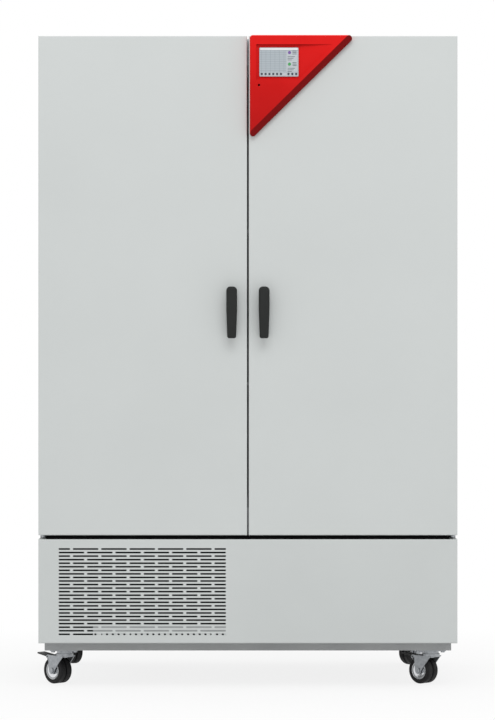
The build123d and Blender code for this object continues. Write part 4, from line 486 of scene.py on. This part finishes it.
def edit(piece: bpy.types.Object, kind: str, test: Callable[[object], bool],
         work: Callable[[], object]) -> None:
    """Works on the chosen faces, edges or corners of a piece in edit mode.

    Args:
        piece: the piece.
        kind: FACE, EDGE or VERT.
        test: says whether one of them is chosen.
        work: what is done with them.
    """
    bpy.ops.object.select_all(action="DESELECT")
    piece.select_set(True)
    bpy.context.view_layer.objects.active = piece
    bpy.ops.object.mode_set(mode="EDIT")
    bpy.ops.mesh.select_mode(type=kind)
    bpy.ops.mesh.select_all(action="DESELECT")
    mesh = bmesh.from_edit_mesh(piece.data)
    mesh.normal_update()
    parts = {"FACE": mesh.faces, "EDGE": mesh.edges, "VERT": mesh.verts}[kind]
    for part in [part for part in parts if test(part)]:
        part.select_set(True)
    bmesh.update_edit_mesh(piece.data)
    work()
    bpy.ops.object.mode_set(mode="OBJECT")


def along(edge: object, axis: Vector) -> bool:
    """Whether an edge runs along an axis."""
    run = edge.verts[1].co - edge.verts[0].co
    return abs(run.normalized().dot(axis)) > ALONG


def soften(piece: bpy.types.Object, radius: float, steps: int = 2) -> None:
    """Rounds a piece's sharp edges and smooths its shading.

    Args:
        piece: the piece.
        radius: how far the rounding reaches.
        steps: faces across the rounding.
    """
    bpy.ops.object.select_all(action="DESELECT")
    piece.select_set(True)
    bpy.context.view_layer.objects.active = piece
    bevel = piece.modifiers.new("edges", "BEVEL")
    bevel.width = radius
    bevel.segments = steps
    bevel.limit_method = "ANGLE"
    bevel.angle_limit = EDGE_ANGLE
    bpy.ops.object.modifier_apply(modifier=bevel.name)
    bpy.ops.object.shade_smooth_by_angle(angle=SMOOTH_ANGLE)


def join(pieces: list[bpy.types.Object]) -> bpy.types.Object:
    """Joins pieces into the first of them.

    Args:
        pieces: the pieces to join.

    Returns:
        The first piece, with the others in it.
    """
    bpy.ops.object.select_all(action="DESELECT")
    for piece in pieces:
        piece.select_set(True)
    bpy.context.view_layer.objects.active = pieces[0]
    bpy.ops.object.join()
    return pieces[0]


def copy_at(piece: bpy.types.Object, name: str, step: Vector) -> bpy.types.Object:
    """Copies a piece with its own mesh, moved by a step.

    Args:
        piece: the piece.
        name: the copy's name.
        step: how far it is moved.

    Returns:
        The copy.
    """
    made = piece.copy()
    made.data = piece.data.copy()
    made.name = name
    made.data.transform(Matrix.Translation(step))
    bpy.context.scene.collection.objects.link(made)
    return made


def hand_over(piece: bpy.types.Object, body: str, material: bpy.types.Material) -> None:
    """Gives a piece its material and the body it rides on.

    Args:
        piece: the piece.
        body: the body that carries it.
        material: what it is dressed in.
    """
    piece.data.materials.clear()
    piece.data.materials.append(material)
    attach(piece, body)
    LOG.info("%s rides on %s", piece.name, body)


class Side(Enum):
    """Which half of the cabinet a piece belongs to."""

    LEFT = -1
    RIGHT = 1

    @property
    def word(self) -> str:
        """The side's name as the nodes use it."""
        return self.name.lower()


Paints = dict[str, bpy.types.Material]


@dataclass
class Cabinet:
    """Everything that the frame brings, dressed in its finishes."""

    nodes: dict[str, bpy.types.Object]

    def dress(self, paints: Paints) -> None:
        """Puts a finish on each node, by the name of its material slot."""
        for name, node in sorted(self.nodes.items()):
            for holder in node.material_slots:
                slot = holder.material.name.split(".")[0]
                holder.material = paints.get(slot, paints["black_plastic"])
            LOG.info("%s dressed", name)


@dataclass
class Handle:
    """A black lever with a rounded top, a narrower foot and wide sloping sides.

    Its ears and crank, behind the plate, are a copy of the node's own.
    """

    side: Side
    foot_width: float = 0.026
    taper: float = 0.085
    slope: float = 0.0052
    rise: float = 0.004
    top_round: float = 0.012
    top_steps: int = 10
    foot_cut: float = 0.005
    foot_steps: int = 2
    edge_round: float = 0.0006
    merge: float = 0.00001
    plate_depth: float = 0.015
    overlap: float = 0.0005

    def build(self) -> bpy.types.Object:
        """Models the lever where its node stands."""
        node = f"handle_lever_{self.side.word}"
        low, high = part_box(node)
        centre = (low.x + high.x) / 2
        back = low.y + self.plate_depth
        piece = block(f"lever_{self.side.word}", Vector((low.x, low.y + self.rise, low.z)),
                      Vector((high.x, back, high.z)))
        turn_z = low.z + self.taper
        share = self.foot_width / (high.x - low.x)
        across = Vector((0, 1, 0))
        edit(piece, "FACE", lambda face: True,
             lambda: bpy.ops.mesh.bisect(plane_co=(centre, back, turn_z), plane_no=(0, 0, 1)))
        edit(piece, "VERT", lambda vert: vert.co.z < low.z + NEAR,
             lambda: bpy.ops.transform.resize(value=(share, 1, 1), center_override=(centre, back, low.z)))
        edit(piece, "EDGE", lambda edge: along(edge, across) and edge.verts[0].co.z > high.z - NEAR,
             lambda: bpy.ops.mesh.bevel(offset=self.top_round, segments=self.top_steps, affect="EDGES"))
        edit(piece, "EDGE", lambda edge: along(edge, across) and edge.verts[0].co.z < low.z + NEAR,
             lambda: bpy.ops.mesh.bevel(offset=self.foot_cut, segments=self.foot_steps, affect="EDGES"))
        edit(piece, "FACE", lambda face: face.normal.y < -FACING,
             lambda: bpy.ops.mesh.inset(thickness=self.slope, depth=self.rise))
        soften(piece, self.edge_round)
        ear = copy_at(frame["nodes"][node], f"ear_{self.side.word}", Vector((0, 0, 0)))
        ear.parent = None
        edit(ear, "VERT", lambda vert: True, lambda: bpy.ops.mesh.remove_doubles(threshold=self.merge))
        edit(ear, "FACE", lambda face: True,
             lambda: bpy.ops.mesh.bisect(plane_co=(centre, back - self.overlap, turn_z), plane_no=(0, 1, 0),
                                         use_fill=True, clear_inner=True))
        piece = join([piece, ear])
        bpy.ops.object.shade_smooth_by_angle(angle=SMOOTH_ANGLE)
        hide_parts(node)
        return piece

    def dress(self, piece: bpy.types.Object, paints: Paints) -> None:
        """Black moulded plastic."""
        hand_over(piece, f"lever_{self.side.word}", paints["handle_plastic"])


def joint_place(name: str) -> Vector:
    """Where a joint's axis stands at rest."""
    return Vector(next(joint["pos_m"] for joint in frame["joints"] if joint["name"] == name))


def joint_axis(name: str) -> Vector:
    """The direction of a joint's axis at rest."""
    return Vector(next(joint["axis"] for joint in frame["joints"] if joint["name"] == name))


@dataclass
class ScreenPicture:
    """The generic design on the touch display: thin plates and dots on its face."""

    proud: float = 0.0004
    margin: float = 0.02
    bar_share: float = 0.085
    column_share: float = 0.69
    column_top: float = 0.11
    column_foot: float = 0.84
    foot_top: float = 0.865
    foot_end: float = 0.975
    corner: float = 0.0012
    corner_share: float = 0.3
    plate_edge: float = 0.00012
    dot_edge: float = 0.0001
    dot_rim: float = 0.25
    dot_sides: int = 24
    dot_share: float = 0.769
    upper_dot: float = 0.176
    lower_dot: float = 0.574
    line_left: float = 0.845
    line_right: float = 0.95
    line_step: float = 0.05
    line_half: float = 0.008
    text_left: float = 0.72
    text_drop: float = 0.08
    text_step: float = 0.055
    text_height: float = 0.014
    text_shrink: float = 0.04
    left_icons: int = 6
    right_icons: int = 3
    icon_radius: float = 0.0034
    dot_radius: float = 0.0046
    icon_row: float = 0.913
    icon_first: float = 0.062
    icon_step: float = 0.0978
    side_icon: float = 0.744

    def place(self, across: float, down: float) -> Vector:
        """Finds a point on the display's face.

        Args:
            across: its share of the width, from the left.
            down: its share of the height, from the top.

        Returns:
            The point.
        """
        low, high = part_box("display")
        return Vector((low.x + across * (high.x - low.x), low.y, high.z - down * (high.z - low.z)))

    def plate(self, name: str, first: Span, last: Span) -> bpy.types.Object:
        """Models a thin rounded plate on the face.

        Args:
            name: its name.
            first: its upper left corner, as shares of the face.
            last: its lower right corner.

        Returns:
            The plate.
        """
        start = self.place(*first)
        end = self.place(*last)
        piece = block(name, Vector((start.x, start.y - self.proud, end.z)), Vector((end.x, start.y, start.z)))
        corner = min(self.corner, (start.z - end.z) * self.corner_share)
        edit(piece, "EDGE", lambda edge: along(edge, Vector((0, 1, 0))),
             lambda: bpy.ops.mesh.bevel(offset=corner, segments=3, affect="EDGES"))
        soften(piece, self.plate_edge, 1)
        return piece

    def dot(self, name: str, across: float, down: float, radius: float) -> bpy.types.Object:
        """Models a round mark with a raised rim.

        Args:
            name: its name.
            across: its centre's share of the width.
            down: its centre's share of the height.
            radius: its radius.

        Returns:
            The mark.
        """
        centre = self.place(across, down) - Vector((0, self.proud, 0))
        piece = disc(name, centre, Vector((0, 1, 0)), radius, self.proud * 2, self.dot_sides)
        edit(piece, "FACE", lambda face: face.normal.y < -FACING,
             lambda: bpy.ops.mesh.inset(thickness=radius * self.dot_rim, depth=-self.proud / 2))
        soften(piece, self.dot_edge, 1)
        return piece

    def lifted(self, piece: bpy.types.Object) -> bpy.types.Object:
        """Moves a mark onto the plate that carries it."""
        piece.data.transform(Matrix.Translation(Vector((0, -self.proud, 0))))
        return piece

    def plates(self) -> list[tuple[bpy.types.Object, str]]:
        """The bar at the top, the column at the right and the strip for the icons."""
        edge = 1 - self.margin
        return [
            (self.plate("screen_bar", (self.margin, self.margin), (edge, self.bar_share)), "screen_white"),
            (self.plate("screen_column", (self.column_share, self.column_top), (edge, self.column_foot)),
             "screen_pale"),
            (self.plate("screen_foot", (self.margin, self.foot_top), (edge, self.foot_end)), "screen_pale"),
        ]

    def readout(self, name: str, down: float, tint: str) -> list[tuple[bpy.types.Object, str]]:
        """A coloured dot with short lines beside it and longer lines below it.

        Args:
            name: the dot's name.
            down: its share from the top.
            tint: its finish.

        Returns:
            The marks and their finishes.
        """
        marks = [(self.lifted(self.dot(name, self.dot_share, down, self.dot_radius)), tint)]
        for row in (-1, 0, 1):
            middle = down + row * self.line_step
            line = self.plate(f"{name}_line_{row + 2}", (self.line_left, middle - self.line_half),
                              (self.line_right, middle + self.line_half))
            marks.append((self.lifted(line), "screen_ink"))
        for row in (1, 2, 3):
            top = down + self.text_drop + row * self.text_step
            wide = self.plate(f"{name}_text_{row}", (self.text_left, top),
                              (self.line_right - row * self.text_shrink, top + self.text_height))
            marks.append((self.lifted(wide), "screen_ink"))
        return marks

    def icons(self) -> list[tuple[bpy.types.Object, str]]:
        """The row of round icons, in a group at the left and one at the right."""
        marks = []
        for index in range(self.left_icons + self.right_icons):
            across = self.icon_first + index * self.icon_step
            if index >= self.left_icons:
                across = self.side_icon + (index - self.left_icons) * self.icon_step
            icon = self.dot(f"screen_icon_{index + 1}", across, self.icon_row, self.icon_radius)
            marks.append((self.lifted(icon), "screen_ink"))
        return marks

    def build(self, paints: Paints) -> None:
        """Models and dresses the whole design."""
        marks = self.plates()
        marks += self.readout("screen_dot_upper", self.upper_dot, "screen_purple")
        marks += self.readout("screen_dot_lower", self.lower_dot, "screen_green")
        marks += self.icons()
        for piece, tint in marks:
            hand_over(piece, "door_right", paints[tint])


@dataclass
class CasterHub:
    """The pale disc and bright rim on both outer faces of a twin wheel."""

    corner: str
    radius: float = 0.0255
    rim: float = 0.0013
    proud: float = 0.0005
    sunk: float = 0.002
    lip: float = 0.0035
    dish: float = 0.0008
    web: float = 0.009
    boss: float = 0.0006
    hub_edge: float = 0.0002
    rim_lip: float = 0.0011
    rim_dish: float = 0.0006
    rim_edge: float = 0.0001
    sides: int = 48

    def build(self, paints: Paints) -> None:
        """Models a hub on each side of the wheel and dresses it."""
        centre = joint_place(f"caster_roll_{self.corner}")
        axis = joint_axis(f"caster_roll_{self.corner}").normalized()
        wheel = frame["nodes"][f"caster_wheels_{self.corner}"]
        half = max(abs((vert.co - centre).dot(axis)) for vert in wheel.data.vertices)
        for side in Side:
            out = axis * side.value
            thick = self.proud + self.sunk
            middle = centre + out * (half + self.proud - thick / 2)
            name = f"hub_{self.corner}_{side.word}"
            hub = disc(name, middle, axis, self.radius, thick, self.sides)
            edit(hub, "FACE", lambda face: face.normal.dot(out) > FACING,
                 lambda: bpy.ops.mesh.inset(thickness=self.lip, depth=-self.dish))
            edit(hub, "FACE", lambda face: face.normal.dot(out) > FACING and len(face.verts) == self.sides,
                 lambda: bpy.ops.mesh.inset(thickness=self.web, depth=-self.boss))
            soften(hub, self.hub_edge)
            hand_over(hub, f"wheels_{self.corner}", paints["hub_plastic"])
            ring = disc(f"hub_rim_{self.corner}_{side.word}", middle - out * self.proud / 2, axis,
                        self.radius + self.rim, thick, self.sides)
            edit(ring, "FACE", lambda face: abs(face.normal.dot(out)) > FACING,
                 lambda: bpy.ops.mesh.inset(thickness=self.rim_lip, depth=-self.rim_dish))
            soften(ring, self.rim_edge, 1)
            hand_over(ring, f"wheels_{self.corner}", paints["chrome_wire"])


@dataclass
class AirIntake:
    """What shows through the air slots: a black filter mat, and a strip behind the lowest rows."""

    left: float = -0.566
    strip_left: float = -0.460
    right: float = -0.062
    low: float = 0.154
    foot_top: float = 0.1656
    strip_top: float = 0.187
    high: float = 0.4205
    face: float = -0.3988
    thick: float = 0.0014
    mat_thick: float = 0.003
    cut_left: float = -0.4560
    cut_pitch: float = 0.0172
    cut_width: float = 0.0062
    cut_low: float = 0.1580
    cut_high: float = 0.1638
    lean: float = 24.0
    cut_proud: float = 0.0003
    cut_round: float = 0.0012
    press_edge: float = 0.002
    press_depth: float = 0.001
    edge_round: float = 0.0002

    def panel(self, name: str, left: float, right: float, low: float, high: float,
              thick: float) -> bpy.types.Object:
        """A flat piece on the cover's inner face, with a pressed back.

        Args:
            name: its name.
            left: its left edge.
            right: its right edge.
            low: its lower edge.
            high: its upper edge.
            thick: its thickness.

        Returns:
            The new piece.
        """
        piece = block(name, Vector((left, self.face, low)), Vector((right, self.face + thick, high)))
        edit(piece, "FACE", lambda face: face.normal.y > FACING,
             lambda: bpy.ops.mesh.inset(thickness=self.press_edge, depth=self.press_depth))
        soften(piece, self.edge_round)
        return piece

    def build(self, paints: Paints) -> None:
        """Models the mat in two parts, the strip in two shades and its row of slanting inlays."""
        upper = self.panel("filter_mat_upper", self.left, self.right,
                           self.strip_top, self.high, self.mat_thick)
        lower = self.panel("filter_mat_lower", self.left, self.strip_left,
                           self.low, self.strip_top, self.mat_thick)
        strip = self.panel("air_strip", self.strip_left, self.right,
                           self.foot_top, self.strip_top, self.thick)
        foot = self.panel("air_strip_foot", self.strip_left, self.right,
                          self.low, self.foot_top, self.thick)
        hand_over(upper, "cabinet", paints["filter_black"])
        hand_over(lower, "cabinet", paints["filter_black"])
        hand_over(strip, "cabinet", paints["strip_grey"])
        hand_over(foot, "cabinet", paints["casing_panel"])
        first = block("air_cuts", Vector((self.cut_left, self.face - self.cut_proud, self.cut_low)),
                      Vector((self.cut_left + self.cut_width, self.face, self.cut_high)))
        middle = (self.cut_left + self.cut_width / 2, self.face, (self.cut_low + self.cut_high) / 2)
        edit(first, "FACE", lambda face: True,
             lambda: bpy.ops.transform.rotate(value=math.radians(self.lean), orient_axis="Y",
                                              center_override=middle))
        edit(first, "EDGE", lambda edge: along(edge, Vector((0, 1, 0))),
             lambda: bpy.ops.mesh.bevel(offset=self.cut_round, segments=2, affect="EDGES"))
        count = int((self.right - self.cut_left - self.cut_width) / self.cut_pitch) + 1
        cuts = [copy_at(first, f"air_cut_{index}", Vector((index * self.cut_pitch, 0, 0)))
                for index in range(1, count)]
        hand_over(join([first, *cuts]), "cabinet", paints["filter_black"])


@dataclass
class GapProfile:
    """The black sealing profile that stands on the lower cover, under the doors."""

    half: float = 0.599
    front: float = -0.396
    back: float = -0.384
    low: float = 0.443
    high: float = 0.4532
    groove_edge: float = 0.002
    groove: float = 0.002
    edge_round: float = 0.0008

    def build(self, paints: Paints) -> None:
        """Models the profile with a groove along its front."""
        piece = block("gap_profile", Vector((-self.half, self.front, self.low)),
                      Vector((self.half, self.back, self.high)))
        edit(piece, "FACE", lambda face: face.normal.y < -FACING,
             lambda: bpy.ops.mesh.inset(thickness=self.groove_edge, depth=-self.groove))
        soften(piece, self.edge_round)
        hand_over(piece, "cabinet", paints["filter_black"])


@dataclass
class Studio:
    """Pale floor, white surroundings, soft light and the camera."""

    camera_place: Point = (-0.0012, -9.4, 0.9756)
    lens: float = 151.5
    long_side: float = 36.0
    sky: float = 0.78
    lamp_power: float = 100.0
    lamp_place: Point = (0.4, -4.6, 5.2)
    lamp_target: Point = (0, -0.3, 1.0)
    lamp_size: Span = (4.0, 2.5)
    floor_size: float = 60.0
    floor_tone: float = 0.86
    floor_gloss: float = 0.9
    shadow_span: Span = (0.7, 1.8)
    shadow_fade: Span = (0.84, 1.0)
    far: float = 200.0

    @staticmethod
    def seen(tree: bpy.types.NodeTree) -> bpy.types.NodeSocket:
        """Makes a share that is 1 where the camera, a reflection or a pane looks at something.

        Args:
            tree: the nodes that it joins.

        Returns:
            The share's socket.
        """
        path = tree.nodes.new("ShaderNodeLightPath")
        share = path.outputs["Is Camera Ray"]
        for name in ("Is Glossy Ray", "Is Transmission Ray"):
            most = tree.nodes.new("ShaderNodeMath")
            most.operation = "MAXIMUM"
            tree.links.new(share, most.inputs[0])
            tree.links.new(path.outputs[name], most.inputs[1])
            share = most.outputs[0]
        return share

    def surroundings(self) -> None:
        """White all round, and a little dimmer as a light."""
        world = bpy.data.worlds.new("surroundings")
        bpy.context.scene.world = world
        world.use_nodes = True
        tree = world.node_tree
        tree.nodes.clear()
        out = tree.nodes.new("ShaderNodeOutputWorld")
        mix = tree.nodes.new("ShaderNodeMixShader")
        for index, strength in ((1, self.sky), (2, 1.0)):
            light = tree.nodes.new("ShaderNodeBackground")
            light.inputs["Color"].default_value = (1, 1, 1, 1)
            light.inputs["Strength"].default_value = strength
            tree.links.new(light.outputs[0], mix.inputs[index])
        tree.links.new(self.seen(tree), mix.inputs[0])
        tree.links.new(mix.outputs[0], out.inputs["Surface"])

    def floor(self) -> None:
        """A pale floor that fades into white away from the cabinet and keeps its shadow."""
        bpy.ops.object.select_all(action="DESELECT")
        bpy.ops.mesh.primitive_plane_add(size=self.floor_size, location=(0, 0, 0))
        piece = settle("floor")
        wiring = Wiring("pale_floor")
        wiring.shader.inputs["Roughness"].default_value = self.floor_gloss
        tone = self.floor_tone
        wiring.shader.inputs["Base Color"].default_value = (tone, tone, tone, 1)
        length = wiring.tree.nodes.new("ShaderNodeVectorMath")
        length.operation = "LENGTH"
        wiring.join(wiring.place, length.inputs[0])
        fade = wiring.span(length.outputs["Value"], self.shadow_span, self.shadow_fade)
        share = wiring.tree.nodes.new("ShaderNodeMath")
        share.operation = "MULTIPLY"
        wiring.join(fade, share.inputs[0])
        wiring.join(self.seen(wiring.tree), share.inputs[1])
        white = wiring.node("ShaderNodeEmission", Strength=1.0)
        mix = wiring.tree.nodes.new("ShaderNodeMixShader")
        wiring.join(share.outputs[0], mix.inputs[0])
        wiring.join(wiring.shader.outputs[0], mix.inputs[1])
        wiring.join(white.outputs[0], mix.inputs[2])
        wiring.join(mix.outputs[0], wiring.tree.nodes["Material Output"].inputs["Surface"])
        piece.data.materials.append(wiring.material)

    def lamp(self) -> None:
        """One large soft lamp above the front."""
        data = bpy.data.lights.new("front_lamp", "AREA")
        data.shape = "RECTANGLE"
        data.size, data.size_y = self.lamp_size
        data.energy = self.lamp_power
        lamp = bpy.data.objects.new("front_lamp", data)
        lamp.location = self.lamp_place
        aim = Vector(self.lamp_target) - lamp.location
        lamp.rotation_euler = aim.to_track_quat("-Z", "Y").to_euler()
        bpy.context.scene.collection.objects.link(lamp)

    def camera(self) -> None:
        """A level camera straight in front, as in the photograph."""
        data = bpy.data.cameras.new("camera")
        data.lens = self.lens
        data.sensor_width = self.long_side
        data.clip_end = self.far
        camera = bpy.data.objects.new("camera", data)
        camera.location = self.camera_place
        camera.rotation_euler = (math.pi / 2, 0, 0)
        bpy.context.scene.collection.objects.link(camera)
        bpy.context.scene.camera = camera

    def build(self) -> None:
        """Sets up the whole studio."""
        self.surroundings()
        self.floor()
        self.lamp()
        self.camera()
        bpy.context.scene.view_settings.view_transform = "Standard"
        LOG.info("studio ready")


def build_paints() -> Paints:
    """Builds every material once."""
    known = sheet_and_frame_finishes() + plastic_and_rubber_finishes() + added_finishes()
    return {finish.name: finish.make() for finish in known}


def main() -> None:
    """Builds the looks in order."""
    logging.basicConfig(level=logging.INFO)
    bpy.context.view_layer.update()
    paints = build_paints()
    Cabinet(frame["nodes"]).dress(paints)
    for side in Side:
        handle = Handle(side)
        handle.dress(handle.build(), paints)
    ScreenPicture().build(paints)
    for corner in CORNERS:
        CasterHub(corner).build(paints)
    AirIntake().build(paints)
    GapProfile().build(paints)
    Studio().build()


if __name__ == "__main__":
    main()
